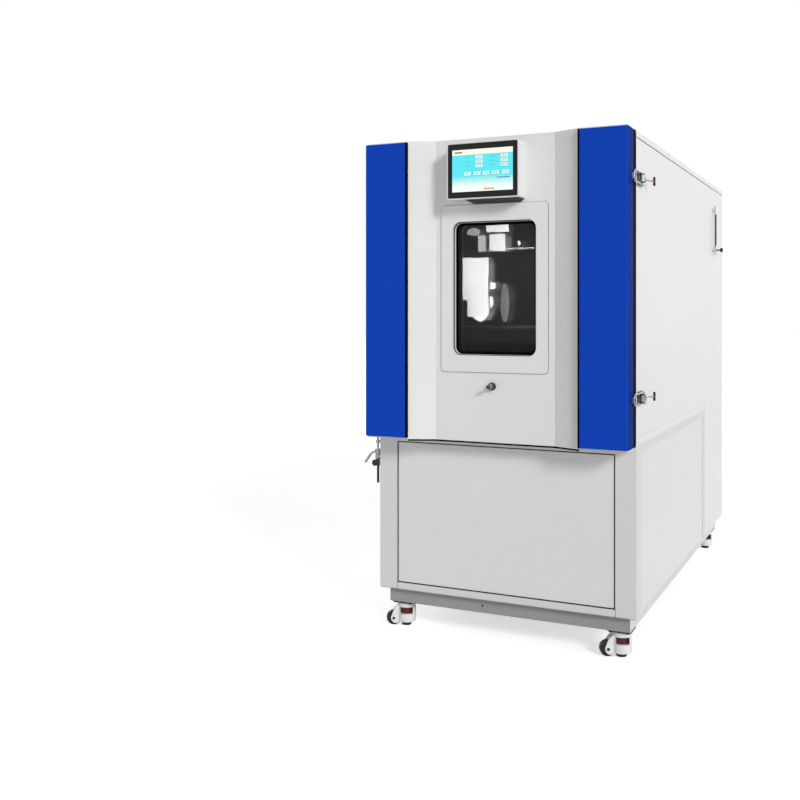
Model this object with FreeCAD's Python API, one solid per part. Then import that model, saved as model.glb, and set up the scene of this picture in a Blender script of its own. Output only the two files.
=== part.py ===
"""Climate test chamber on levelling casters, built as separate steel, foam, glass and plastic pieces.

Body frame while building: X across the front, Y from the front plane of the cabinet to the rear,
Z up from the floor. All shapes are moved at the end so that the origin is the middle of the base.
"""
import FreeCAD, Part
import math
import os

V = FreeCAD.Vector

# ---- cabinet, mm
WIDTH = 876.0
DEPTH = 1772.0
HEIGHT = 1640.0
SHEET = 2.0
PLINTH_Z = 90.0
PLINTH_H = 50.0
PLINTH_IN_X = 25.0
PLINTH_IN_Y = 28.0
CHANNEL_W = 40.0
CHANNEL_T = 5.0
CROSS_RAILS = 3
POST_X = 65.0
POST_Y = 72.0
BOTTOM_RAIL_H = 26.0
PANEL_TOP_Z = 642.0
RAIL_H = 28.0
WAIST_H = 26.0
PANEL_GAP = 2.0
PANEL_INSET = 3.0
PANEL_LIP = 10.0
WAIST_INSET = 1.0
PANEL_T = 18.0
TOP_COVER_H = 24.0
TOP_COVER_LIP = 1.0
TOP_SEAM_H = 3.0
TOP_SEAM_IN = 1.0
TOP_EDGE_R = 3.0
REAR_SECTION_Y = 1288.0
REAR_POST_Y = 51.0
SEAM = 2.0
LOUVRES = 9
LOUVRE_L = 300.0
LOUVRE_H = 12.0
LOUVRE_PITCH = 30.0
LOUVRE_Z = 330.0
LOUVRE_OUT = 8.0

# ---- insulated test space
SIDE_FOAM = 118.0
FLOOR_FOAM = 118.0
ROOF_FOAM = 112.0
BAFFLE_Y = 700.0
CHAMBER_REAR_Y = 880.0
REAR_FOAM = 110.0
LINER_T = 1.5
MOUTH_T = 2.0
BAFFLE_T = 2.0
BAFFLE_GAP = 60.0
BAFFLE_FOLD = 20.0
FAN_INLET_R = 105.0
INLET_RINGS = 3
INLET_HOLE_R = 8.0
INLET_EYE_R = 10.0
FAN_DROP = 238.0
PORT_R = 25.0
PORT_WALL = 1.5
PORT_FLANGE_R = 36.0
PORT_FLANGE_T = 4.0
PORT_Y = 420.0
PORT_DROP = 328.0

# ---- shelf
SHELF_UP = 239.0
SHELF_DEPTH = 520.0
SHELF_FRONT_Y = 90.0
SHELF_ROD_R = 3.0
SHELF_FRAME_R = 4.0
SHELF_RODS = 15
RUNNER_W = 14.0
RUNNER_T = 2.0
RUNNER_GAP = 1.0
SHELF_STEP = 150.0
SPARE_LEVELS = (-1, 1, 2)

# ---- air handling
SHAFT_R = 6.0
SHAFT_FIT = 0.05
SHAFT_HOLE_R = 14.0
SHAFT_END_GAP = 2.0
FAN_FRONT_GAP = 30.0
FAN_R = 95.0
FAN_HUB_R = 26.0
FAN_W = 44.0
FAN_BLADES = 12
FAN_BLADE_T = 2.0
FAN_BLADE_W = 33.0
FAN_BLADE_TURN = 32.0
FAN_RIM = 1.0
FAN_PLATE_T = 2.0
MOTOR_R = 62.0
MOTOR_L = 150.0
MOTOR_FLANGE_R = 80.0
MOTOR_FLANGE_T = 10.0
COIL_W = 520.0
COIL_H = 190.0
COIL_D = 120.0
COIL_FINS = 17
COIL_FIN_T = 3.0
COIL_TUBE_R = 5.0
COIL_TUBE_ROWS = 3
COIL_TUBE_OUT = 12.0
HEATER_R = 4.0
HEATER_H = 60.0
HEATER_LOOPS = 6
LAMP_R = 32.0
LAMP_L = 26.0
LAMP_EDGE_R = 10.0

# ---- machine bay
COMP_R = 85.0
COMP_H = 280.0
COMP_X = 150.0
COMP_Y = 1180.0
COMP_LIFT = 20.0
COMP_EDGE_R = 30.0
COMP_FOOT = 90.0
COMP_FOOT_T = 8.0
COMP_NECK_R = 50.0
COND_W = 520.0
COND_H = 360.0
COND_D = 70.0
COND_Z = 250.0
COND_REAR_GAP = 30.0
COND_LEG_W = 20.0
COND_BASE_T = 4.0
SHROUD_R = 150.0
SHROUD_D = 24.0
TANK_W = 300.0
TANK_D = 220.0
TANK_H = 260.0
TANK_WALL = 4.0
TANK_BEHIND_POST = 30.0
FILLER_R = 24.0
FILLER_H = 20.0
EBOX_W = 420.0
EBOX_D = 180.0
EBOX_H = 360.0
EBOX_GAP = 120.0
BOILER_R = 70.0
BOILER_H = 220.0
BOILER_GAP = 180.0
STEAM_PIPE_R = 12.0
STEAM_PIPE_DROP = 40.0
BAY_PLATE_T = 3.0

# ---- door
DOOR_OVER_RAIL = 4.0
DOOR_GAP = 8.0
DOOR_CENTRE_Y = -65.0
DOOR_WING_Y = -101.0
DOOR_CENTRE_HALF = 201.0
DOOR_SLOPE = 85.0
BLUE_PROUD = 9.0
BLUE_BOTTOM_UP = 5.0
BLUE_TOP_DROP = 4.0
BLUE_SHEET = 2.0
BLUE_CORNER_R = 5.0
BLUE_GAP = 1.0
PLUG_GAP = 16.0
PLUG_Y = 24.0
PLUG_CORNER_R = 20.0
GASKET_W = 22.0
GASKET_CLEAR = 0.3
GASKET_IN = 34.0
GASKET_CORNER_R = 30.0
GASKET_LIP_R = 3.0
RIM_SEAL_W = 12.0
RIM_SEAL_IN = 0.5
RIM_SEAL_CORNER_R = 6.0

# ---- door window
WIN_DROP = 482.0
WIN_HALF_W = 141.0
WIN_HALF_H = 215.0
WIN_CORNER_R = 27.0
RING_WALL = 10.0
PLATE_HALF_W = 180.0
PLATE_HALF_H = 269.0
PLATE_T = 4.0
PLATE_CORNER_R = 14.0
PANE_T = 6.0
PANE_RECESS = 25.0
INNER_PANE_BACK = 6.0

# ---- touch panel
TOUCH_X = -15.0
TOUCH_W = 241.0
TOUCH_DROP = 22.0
TOUCH_H = 180.0
TOUCH_OUT = 64.0
TOUCH_CORNER_R = 6.0
BEZEL_MARGIN = 4.5
BEZEL_CORNER_R = 4.0
BEZEL_T = 4.0
BEZEL_PROUD = 1.0
SCREEN_W = 203.0
SCREEN_H = 133.0
SCREEN_T = 2.0
SCREEN_SINK = 0.6
TOUCH_FRAME_T = 3.0

# ---- lock
LOCK_X = -6.0
LOCK_BELOW_PLATE = 44.0
LOCK_R = 11.0
LOCK_OUT = 14.0
LOCK_IN = 26.0
LOCK_ROOM = 30.0
LOCK_COLLAR_R = 13.0
LOCK_COLLAR_T = 3.0
CORE_R = 6.5
CORE_OUT = 1.0
CORE_DEPTH = 17.0
KEY_SLOT_L = 8.0
KEY_SLOT_W = 2.0
KEY_SLOT_D = 4.0
FIT = 0.05

# ---- door hinges
HINGE_OFF = 14.0
HINGE_H = 90.0
HINGE_LOW_UP = 94.0
HINGE_TOP_DROP = 100.0
PIN_SHORT = 1.0
KNUCKLE_R = 9.0
PIN_R = 5.0
LEAF_T = 4.0
LEAF_L = 50.0
HINGE_SPLIT = 0.4
WEB_H = 7.0

# ---- toggle latches
LATCH_TOP_DROP = 147.0
LATCH_LOW_UP = 151.0
LATCH_BASE_L = 76.0
LATCH_BASE_H = 40.0
LATCH_BASE_T = 2.5
LATCH_BASE_Y = 10.0
LATCH_BASE_R = 6.0
EAR_T = 3.0
EAR_IN = 10.0
LATCH_PIVOT_X = 12.0
LATCH_PIVOT_Y = 26.0
LATCH_PIN_R = 3.0
LATCH_EAR_R = 8.0
LATCH_CRANK = 18.0
LATCH_HANDLE_W = 19.4
LATCH_ARM_T = 5.0
LATCH_ARM_PAST = 26.0
LATCH_WINDOW = (8.0, 20.0)
LATCH_WINDOW_HALF = 5.0
LATCH_STEM_IN = 4.0
LATCH_STEM_R = 2.5
LATCH_CRANK_PIN_R = 2.5
LATCH_T_Y = 119.0
LATCH_T_X = 30.0
LATCH_T_R = 3.6
LATCH_T_L = 28.0
HOOK_R = 3.0
HOOK_Z = 16.5
HOOK_END_Y = -62.0
HOOK_END_X = 8.0
HOOK_BEND = 8.0
HOOK_EYE_R = 5.5
KEEPER_L = 22.0
KEEPER_H = 20.0
KEEPER_GAP = 0.3
KEEPER_RAMP = 6.0
KEEPER_LIP = 3.0

# ---- drain valve, left side
DRAIN_Y = 22.0
DRAIN_X_OFF = 20.0
DRAIN_PIPE_R = 4.0
DRAIN_PIPE_L = 40.0
DRAIN_BODY_R = 9.0
DRAIN_BODY_H = 60.0
DRAIN_TOP_DROP = 18.0
DRAIN_COLLAR_T = 10.0
DRAIN_COLLAR_OUT = 2.0
DRAIN_BRACKET_UP = 24.0
DRAIN_BRACKET_H = 12.0
DRAIN_BRACKET_T = 6.0
DRAIN_CLAMP_WALL = 3.0
DRAIN_NIPPLE_R = 7.0
DRAIN_NIPPLE_UP = 30.0
DRAIN_SPOUT_UP = 48.0
DRAIN_SPOUT_R = 5.0
DRAIN_SPOUT_BORE = 3.8
DRAIN_SPOUT_RUN = 6.0
DRAIN_SPOUT_BEND = 30.0
DRAIN_SPOUT_TURN = 55.0
DRAIN_SPOUT_END = 32.0
DRAIN_LEVER_UP = 12.0
DRAIN_SEAT_OUT = 3.0
DRAIN_SEAT_L = 12.0
DRAIN_HUB_R = 11.0
DRAIN_HUB_T = 10.0
DRAIN_LEVER_L = 68.0
DRAIN_LEVER_W = 5.5
DRAIN_LEVER_X = 8.5
DRAIN_LEVER_TOP = 9.0
DRAIN_LEVER_T = 8.0
DRAIN_STEM_R = 4.0
DRAIN_STEM_IN = 9.0

# ---- level gauge, right side near the rear
GAUGE_Y = 1490.0
GAUGE_X_OFF = 13.0
GAUGE_TOP_DROP = 116.0
GAUGE_SPAN = 174.0
GAUGE_FIT_R = 5.5
GAUGE_FIT_H = 38.0
GAUGE_NUT_H = 8.0
GAUGE_NUT_OUT = 1.5
GAUGE_FLANGE_T = 3.0
GAUGE_FLANGE_OUT = 3.0
GAUGE_TUBE_R = 3.5
GAUGE_KNOB_R = 9.0
GAUGE_KNOB_L = 10.0
GAUGE_STEM_R = 3.0
GAUGE_STEM_L = 20.0
GAUGE_KNOB_FLUTES = 6
GAUGE_FLUTE_R = 2.5
GAUGE_FLUTE_OUT = 1.0
GAUGE_HOLE_L = 12.0

# ---- levelling casters
CASTER_IN_X = 64.0
CASTER_IN_Y = 77.0
CASTER_PLATE = 78.0
CASTER_PLATE_R = 8.0
CASTER_PLATE_T = 5.0
CASTER_BOLT_PITCH = 56.0
BOLT_HEAD_R = 6.5
BOLT_HEAD_H = 5.0
SWIVEL_COLLAR_R = 20.0
SWIVEL_COLLAR_H = 4.0
SWIVEL_GAP = 0.3
HOUSING_R = 32.0
HOUSING_Z0 = 13.0
HOUSING_EDGE_R = 4.0
TRAIL = 44.0
TRAIL_ANGLE = 204.0
WHEEL_R = 25.0
WHEEL_W = 22.0
WHEEL_LIFT = 0.5
WHEEL_SIDE_GAP = 1.0
WHEEL_EDGE = 3.0
WHEEL_DISH = 2.0
FORK_T = 6.0
FORK_END_R = 17.0
FORK_END_BACK = 7.0
FORK_KNEE = 25.0
FORK_BROW = 37.0
FORK_TOP_DROP = 11.0
WHEEL_BORE_R = 4.0
WHEEL_SLOT_GAP = 2.5
AXLE_HEAD_R = 6.5
AXLE_HEAD_T = 1.5
DIAL_R = 23.0
DIAL_Z0 = 42.5
DIAL_H = 22.5
DIAL_GAP = 0.4
DIAL_OPENING = 42.0
DIAL_NOTCHES = 10
DIAL_NOTCH_R = 2.5
DIAL_NOTCH_OUT = 0.8
STEM_R = 6.0
STEM_TOP_Z = 68.0
PAD_R = 17.0
PAD_H = 9.0
PAD_EDGE = 2.0
PAD_NECK_R = 9.0
PAD_NECK_H = 5.0
PAD_LIFT = 11.0
PAD_ROOM_GAP = 1.0

# ---- derived
HALF = WIDTH / 2
BODY_Z0 = PLINTH_Z + PLINTH_H
RAIL_TOP_Z = PANEL_TOP_Z + RAIL_H
SKIN_BOTTOM_Z = RAIL_TOP_Z + WAIST_H
SKIN_TOP_Z = HEIGHT - TOP_COVER_H
SIDE_PANEL_END_Y = REAR_SECTION_Y - REAR_POST_Y
CHAMBER_HALF_W = HALF - SIDE_FOAM
CHAMBER_Z0 = RAIL_TOP_Z + FLOOR_FOAM
CHAMBER_Z1 = HEIGHT - ROOF_FOAM
FAN_Z = CHAMBER_Z1 - FAN_DROP
PORT_Z = CHAMBER_Z1 - PORT_DROP
SHELF_Z = CHAMBER_Z0 + SHELF_UP
FOAM_REAR_Y = CHAMBER_REAR_Y + REAR_FOAM
WING_HALF = DOOR_CENTRE_HALF + DOOR_SLOPE
DOOR_HALF = HALF
DOOR_Z0 = RAIL_TOP_Z - DOOR_OVER_RAIL
BLUE_Z0 = DOOR_Z0 + BLUE_BOTTOM_UP
PAN_HALF = DOOR_HALF - BLUE_SHEET - BLUE_GAP
BLUE_FRONT_Y = DOOR_WING_Y - BLUE_PROUD
DOOR_REAR_Y = -DOOR_GAP
WIN_Z = HEIGHT - WIN_DROP
WIN_Z0 = WIN_Z - WIN_HALF_H
WIN_Z1 = WIN_Z + WIN_HALF_H
TOUCH_Z0 = HEIGHT - TOUCH_DROP - TOUCH_H
TOUCH_FRONT_Y = DOOR_CENTRE_Y - TOUCH_OUT
LOCK_Z = WIN_Z - PLATE_HALF_H - LOCK_BELOW_PLATE
HINGE_ZS = (DOOR_Z0 + HINGE_LOW_UP, WIN_Z, HEIGHT - HINGE_TOP_DROP)
LATCH_ZS = (HEIGHT - LATCH_TOP_DROP, DOOR_Z0 + LATCH_LOW_UP)
DRAIN_PIPE_TOP_Z = RAIL_TOP_Z - DRAIN_TOP_DROP
DRAIN_BODY_Z1 = DRAIN_PIPE_TOP_Z - DRAIN_PIPE_L
DRAIN_BODY_Z0 = DRAIN_BODY_Z1 - DRAIN_BODY_H
DRAIN_LEVER_Z = DRAIN_BODY_Z0 + DRAIN_LEVER_UP
GAUGE_TOP_Z = HEIGHT - GAUGE_TOP_DROP
GAUGE_BOT_Z = GAUGE_TOP_Z - GAUGE_SPAN
WHEEL_Z = WHEEL_R + WHEEL_LIFT
HINGE_X = -HALF - HINGE_OFF
HINGE_Y = DOOR_REAR_Y
PLUG_HALF_W = CHAMBER_HALF_W - PLUG_GAP
PLUG_Z0 = CHAMBER_Z0 + PLUG_GAP
PLUG_Z1 = CHAMBER_Z1 - PLUG_GAP
CASTER_SPOTS = (
    ("front_right", HALF - CASTER_IN_X, CASTER_IN_Y),
    ("front_left", CASTER_IN_X - HALF, CASTER_IN_Y),
    ("rear_right", HALF - CASTER_IN_X, DEPTH - CASTER_IN_Y),
    ("rear_left", CASTER_IN_X - HALF, DEPTH - CASTER_IN_Y),
)
# middle of the outer box: drain spout to latch grip across, touch panel to rear louvres along
SPOUT_SLOPE = math.radians(DRAIN_SPOUT_TURN)
SPOUT_OUT = DRAIN_SPOUT_RUN + DRAIN_SPOUT_BEND * math.sin(SPOUT_SLOPE) + DRAIN_SPOUT_END * math.cos(SPOUT_SLOPE)
SPOUT_TIP_X = -HALF - DRAIN_X_OFF - SPOUT_OUT - DRAIN_SPOUT_R * math.sin(SPOUT_SLOPE)
GAUGE_KNOB_X = HALF + GAUGE_X_OFF + GAUGE_STEM_L + GAUGE_KNOB_L
MOVE_X = -(SPOUT_TIP_X + GAUGE_KNOB_X) / 2
MOVE_Y = -(TOUCH_FRONT_Y - BEZEL_PROUD + DEPTH + LOUVRE_OUT) / 2

nodes = {}


def block(x0, x1, y0, y1, z0, z1):
    return Part.makeBox(x1 - x0, y1 - y0, z1 - z0, V(x0, y0, z0))


def rod(start, end, radius):
    line = end - start
    return Part.makeCylinder(radius, line.Length, start, line)


def prism(points, z0, z1):
    """Closed outline in the XY plane carried up from z0 to z1."""
    corners = [V(x, y, z0) for x, y in points]
    wire = Part.makePolygon(corners + [corners[0]])
    return Part.Face(wire).extrude(V(0, 0, z1 - z0))


def rounded_front(x_half, z_half, radius, x_mid, z_mid, y0, y1):
    """Rounded rectangle seen from the front, between two depths."""
    body = block(x_mid - x_half, x_mid + x_half, y0, y1, z_mid - z_half, z_mid + z_half)
    edges = [e for e in body.Edges if abs(e.tangentAt(e.FirstParameter).y) > 0.99]
    return body.makeFillet(radius, edges)


def fuse(shapes):
    return shapes[0].multiFuse(shapes[1:]).removeSplitter()


def cut(shape, tools):
    for tool in tools:
        shape = shape.cut(tool)
    return shape


def save(name, *solids):
    nodes[name] = Part.Compound(list(solids)) if len(solids) > 1 else solids[0]


def mirror_x(shape):
    return shape.mirror(V(0, 0, 0), V(1, 0, 0))


# ---- frame: plinth channels and the folded posts of the lower section
def channel(x0, x1, y0, y1, open_side):
    """U-channel lying on its back wall; open_side points from the back wall to the open face."""
    outer = block(x0, x1, y0, y1, PLINTH_Z, BODY_Z0)
    t = CHANNEL_T
    inner = block(x0 - 1, x1 + 1, y0 - 1, y1 + 1, PLINTH_Z + t, BODY_Z0 - t)
    wall = {
        "+x": block(x0, x0 + t, y0, y1, PLINTH_Z, BODY_Z0),
        "-x": block(x1 - t, x1, y0, y1, PLINTH_Z, BODY_Z0),
        "+y": block(x0, x1, y0, y0 + t, PLINTH_Z, BODY_Z0),
        "-y": block(x0, x1, y1 - t, y1, PLINTH_Z, BODY_Z0),
    }[open_side]
    return outer.cut(inner).fuse(wall).removeSplitter()


def capped_channel(half, y0, y1, open_side):
    """Channel across the cabinet with plates over its open ends."""
    pieces = [channel(-half, half, y0, y1, open_side)]
    for side in (-1, 1):
        xs = sorted((side * half, side * (half - CHANNEL_T)))
        pieces.append(block(xs[0], xs[1], y0, y1, PLINTH_Z, BODY_Z0))
    return fuse(pieces)


def hollow_post(x0, x1, y0, y1, z0, z1):
    t = SHEET
    return block(x0, x1, y0, y1, z0, z1).cut(block(x0 + t, x1 - t, y0 + t, y1 - t, z0 - 1, z1 + 1))


def build_frame():
    px = HALF - PLINTH_IN_X
    y0, y1 = PLINTH_IN_Y, DEPTH - PLINTH_IN_Y
    inner = px - CHANNEL_W
    parts = [
        capped_channel(px, y0, y0 + CHANNEL_W, "+y"),
        capped_channel(px, y1 - CHANNEL_W, y1, "-y"),
        channel(-px, -inner, y0 + CHANNEL_W, y1 - CHANNEL_W, "+x"),
        channel(inner, px, y0 + CHANNEL_W, y1 - CHANNEL_W, "-x"),
    ]
    pitch = (y1 - y0) / (CROSS_RAILS + 1)
    for i in range(CROSS_RAILS):
        mid = y0 + pitch * (i + 1)
        parts.append(channel(-inner, inner, mid - CHANNEL_W / 2, mid + CHANNEL_W / 2, "+y"))
    deck = block(-HALF + SHEET, HALF - SHEET, SHEET, DEPTH - SHEET, BODY_Z0, BODY_Z0 + BAY_PLATE_T)
    parts.append(deck)
    z0 = BODY_Z0 + BAY_PLATE_T
    for side in (-1, 1):
        x_out = side * HALF
        x_in = side * (HALF - POST_X)
        xs = sorted((x_out, x_in))
        parts.append(hollow_post(xs[0], xs[1], 0, POST_Y, z0, RAIL_TOP_Z))
        parts.append(hollow_post(xs[0], xs[1], SIDE_PANEL_END_Y, REAR_SECTION_Y - SEAM, z0, RAIL_TOP_Z))
        band = sorted((x_out, side * (HALF - PANEL_T)))
        parts.append(block(band[0], band[1], POST_Y, SIDE_PANEL_END_Y, PANEL_TOP_Z + PANEL_GAP, RAIL_TOP_Z))
    half_in = HALF - POST_X
    sill = BODY_Z0 + BOTTOM_RAIL_H - PANEL_GAP
    head = PANEL_TOP_Z + PANEL_GAP
    parts.append(fuse([
        block(-half_in, half_in, 0, PANEL_T, z0, sill),
        block(-half_in, half_in, PANEL_T, PANEL_T + SHEET, z0, sill + PANEL_LIP),
    ]))
    parts.append(fuse([
        block(-half_in, half_in, 0, PANEL_T, head, RAIL_TOP_Z),
        block(-half_in, half_in, PANEL_T, PANEL_T + SHEET, head - PANEL_LIP, RAIL_TOP_Z),
    ]))
    save("frame", *parts)


def folded_panel_front(half_w, z0, z1):
    """Lower front panel: a face sheet with its edges folded back."""
    outer = block(-half_w, half_w, PANEL_INSET, PANEL_T, z0, z1)
    t = SHEET
    return outer.cut(block(-half_w + t, half_w - t, PANEL_INSET + t, PANEL_T + 1, z0 + t, z1 - t))


def folded_panel_side(side, y0, y1, z0, z1, depth, inset):
    x_out = side * (HALF - inset)
    x_in = side * (HALF - depth)
    xs = sorted((x_out, x_in))
    outer = block(xs[0], xs[1], y0, y1, z0, z1)
    hollow = sorted((side * (HALF - inset - SHEET), side * (HALF - depth - 1)))
    return outer.cut(block(hollow[0], hollow[1], y0 + SHEET, y1 - SHEET, z0 + SHEET, z1 - SHEET))


def build_panels():
    z0 = BODY_Z0 + BOTTOM_RAIL_H
    front = folded_panel_front(HALF - POST_X - PANEL_GAP, z0, PANEL_TOP_Z)
    low = BODY_Z0 + BAY_PLATE_T
    y0 = POST_Y + PANEL_GAP
    y1 = SIDE_PANEL_END_Y - PANEL_GAP
    sides = [folded_panel_side(side, y0, y1, low, PANEL_TOP_Z, PANEL_T, PANEL_INSET) for side in (-1, 1)]
    save("lower_panels", front, *sides)
    skins = []
    for side in (-1, 1):
        xs = sorted((side * HALF, side * (HALF - SHEET)))
        skin = block(xs[0], xs[1], 0, REAR_SECTION_Y - SEAM, SKIN_BOTTOM_Z, SKIN_TOP_Z)
        if side < 0:
            port = rod(V(-HALF - 1, PORT_Y, PORT_Z), V(-HALF + SHEET + 1, PORT_Y, PORT_Z), PORT_R + PORT_WALL)
            skin = skin.cut(port)
        skins.append(skin)
        waist = block(xs[0], xs[1], 0, REAR_SECTION_Y - SEAM, RAIL_TOP_Z, SKIN_BOTTOM_Z - WAIST_INSET)
        skins.append(waist.translated(V(-side * WAIST_INSET, 0, 0)))
        rear = block(xs[0], xs[1], REAR_SECTION_Y, DEPTH - SHEET, BODY_Z0 + BAY_PLATE_T, SKIN_TOP_Z)
        skins.append(rear)
    save("side_skins", *skins)


def build_rear_panel():
    """Rear sheet with two columns of pressed louvres, open at their lower edges."""
    sheet = block(-HALF, HALF, DEPTH - SHEET, DEPTH, BODY_Z0 + BAY_PLATE_T, SKIN_TOP_Z)
    hoods = []
    slots = []
    for column in (-1, 1):
        x_mid = column * (LOUVRE_L / 2 + LOUVRE_PITCH)
        for i in range(LOUVRES):
            z = LOUVRE_Z + i * LOUVRE_PITCH
            x0 = x_mid - LOUVRE_L / 2
            profile = [
                V(x0, DEPTH, z + LOUVRE_H),
                V(x0, DEPTH + LOUVRE_OUT, z),
                V(x0, DEPTH + LOUVRE_OUT - SHEET, z),
                V(x0, DEPTH - SHEET, z + LOUVRE_H - SHEET),
                V(x0, DEPTH - SHEET, z + LOUVRE_H),
            ]
            face = Part.Face(Part.makePolygon(profile + [profile[0]]))
            hoods.append(face.extrude(V(LOUVRE_L, 0, 0)))
            slots.append(block(x0, x0 + LOUVRE_L, DEPTH - SHEET - 1, DEPTH + 1, z, z + LOUVRE_H - SHEET))
    pierced = sheet.cut(Part.Compound(slots))
    save("rear_panel", fuse([pierced] + hoods))


def build_top_cover():
    """Cap over the cabinet; its lowest edge is set in, which leaves a thin shadow line above the skins."""
    seam_z = SKIN_TOP_Z + TOP_SEAM_H
    crown = block(-HALF, HALF, 0, DEPTH, seam_z, HEIGHT)
    edges = [e for e in crown.Edges if abs(e.CenterOfMass.z - HEIGHT) < 0.01]
    crown = crown.makeFillet(TOP_EDGE_R, edges)
    inset = TOP_SEAM_IN
    skirt = block(-HALF + inset, HALF - inset, 0, DEPTH - inset, SKIN_TOP_Z, seam_z)
    wall = inset + SHEET
    hollow = block(-HALF + wall, HALF - wall, SHEET, DEPTH - wall, SKIN_TOP_Z - TOP_COVER_LIP, HEIGHT - SHEET)
    save("top_cover", fuse([crown, skirt]).cut(hollow))


# ---- insulated box
def build_insulation():
    x_out = HALF - SHEET - max(WAIST_INSET, TOP_SEAM_IN)
    x_in = CHAMBER_HALF_W + LINER_T
    z_low = CHAMBER_Z0 - LINER_T
    z_high = CHAMBER_Z1 + LINER_T
    y0 = MOUTH_T
    y1 = FOAM_REAR_Y
    slabs = []
    for side in (-1, 1):
        xs = sorted((side * x_out, side * x_in))
        slab = block(xs[0], xs[1], y0, y1, RAIL_TOP_Z, HEIGHT - SHEET)
        if side < 0:
            slab = slab.cut(rod(V(-x_out - 1, PORT_Y, PORT_Z), V(-x_in + 1, PORT_Y, PORT_Z), PORT_R + PORT_WALL))
        slabs.append(slab)
    slabs.append(block(-x_in, x_in, y0, y1, RAIL_TOP_Z, z_low))
    slabs.append(block(-x_in, x_in, y0, y1, z_high, HEIGHT - SHEET))
    rear = block(-x_in, x_in, CHAMBER_REAR_Y + LINER_T, y1, z_low, z_high)
    slabs.append(rear.cut(rod(V(0, CHAMBER_REAR_Y, FAN_Z), V(0, y1 + 1, FAN_Z), SHAFT_HOLE_R)))
    save("cabinet_insulation", *slabs)


def build_liner():
    x, z0, z1 = CHAMBER_HALF_W, CHAMBER_Z0, CHAMBER_Z1
    t = LINER_T
    outer = block(-x - t, x + t, MOUTH_T, CHAMBER_REAR_Y + t, z0 - t, z1 + t)
    shell = outer.cut(block(-x, x, 0, CHAMBER_REAR_Y, z0, z1))
    mouth_half = HALF - SHEET - WAIST_INSET
    mouth = block(-mouth_half, mouth_half, 0, MOUTH_T, RAIL_TOP_Z, HEIGHT - TOP_COVER_H)
    mouth = mouth.cut(block(-x, x, -1, MOUTH_T + 1, z0, z1))
    shell = fuse([shell, mouth])
    port = rod(V(-x - t - 1, PORT_Y, PORT_Z), V(-x + 1, PORT_Y, PORT_Z), PORT_R + PORT_WALL)
    shaft = rod(V(0, CHAMBER_REAR_Y - 1, FAN_Z), V(0, CHAMBER_REAR_Y + t + 1, FAN_Z), SHAFT_HOLE_R)
    shell = cut(shell, [port, shaft])
    runners = []
    for z in [SHELF_Z] + [SHELF_Z + step * SHELF_STEP for step in SPARE_LEVELS]:
        for side in (-1, 1):
            xs = sorted((side * x, side * (x - RUNNER_W)))
            top = z - SHELF_FRAME_R
            upright = sorted((side * x, side * (x - RUNNER_T)))
            runner = fuse([
                block(xs[0], xs[1], SHELF_FRONT_Y, SHELF_FRONT_Y + SHELF_DEPTH, top - RUNNER_T, top),
                block(upright[0], upright[1], SHELF_FRONT_Y, SHELF_FRONT_Y + SHELF_DEPTH, top - RUNNER_W, top),
            ])
            runners.append(runner)
    save("inner_liner", shell, *runners)


def build_shelf():
    x = CHAMBER_HALF_W - RUNNER_T - RUNNER_GAP - SHELF_FRAME_R
    y0 = SHELF_FRONT_Y + SHELF_FRAME_R
    y1 = SHELF_FRONT_Y + SHELF_DEPTH - SHELF_FRAME_R
    z = SHELF_Z
    r = SHELF_FRAME_R
    bars = [
        rod(V(-x, y0, z), V(x, y0, z), r),
        rod(V(-x, y1, z), V(x, y1, z), r),
        rod(V(-x, y0, z), V(-x, y1, z), r),
        rod(V(x, y0, z), V(x, y1, z), r),
    ]
    for cx in (-x, x):
        for cy in (y0, y1):
            bars.append(Part.makeSphere(r, V(cx, cy, z)))
    pitch = 2 * x / (SHELF_RODS + 1)
    for i in range(SHELF_RODS):
        px = -x + pitch * (i + 1)
        bars.append(rod(V(px, y0, z), V(px, y1, z), SHELF_ROD_R))
    save("shelf", fuse(bars))


def build_baffle():
    x, z0, z1 = CHAMBER_HALF_W, CHAMBER_Z0, CHAMBER_Z1
    plate = block(-x, x, BAFFLE_Y, BAFFLE_Y + BAFFLE_T, z0 + BAFFLE_GAP, z1 - BAFFLE_GAP)
    mouth_y = BAFFLE_Y - 1
    holes = [Part.makeCylinder(INLET_EYE_R, BAFFLE_T + 2, V(0, mouth_y, FAN_Z), V(0, 1, 0))]
    ring = FAN_INLET_R / INLET_RINGS
    for k in range(1, INLET_RINGS + 1):
        r = ring * k - INLET_HOLE_R
        for i in range(6 * k):
            a = 2 * math.pi * i / (6 * k)
            c = V(r * math.cos(a), mouth_y, FAN_Z + r * math.sin(a))
            holes.append(Part.makeCylinder(INLET_HOLE_R, BAFFLE_T + 2, c, V(0, 1, 0)))
    plate = plate.cut(Part.Compound(holes))
    y0 = BAFFLE_Y + BAFFLE_T
    low = z0 + BAFFLE_GAP
    high = z1 - BAFFLE_GAP
    folds = []
    for side in (-1, 1):
        xs = sorted((side * x, side * (x - BAFFLE_FOLD)))
        folds.append(block(xs[0], xs[1], y0, CHAMBER_REAR_Y, low, low + BAFFLE_T))
        folds.append(block(xs[0], xs[1], y0, CHAMBER_REAR_Y, high - BAFFLE_T, high))
    save("air_baffle", plate, *folds)


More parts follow.
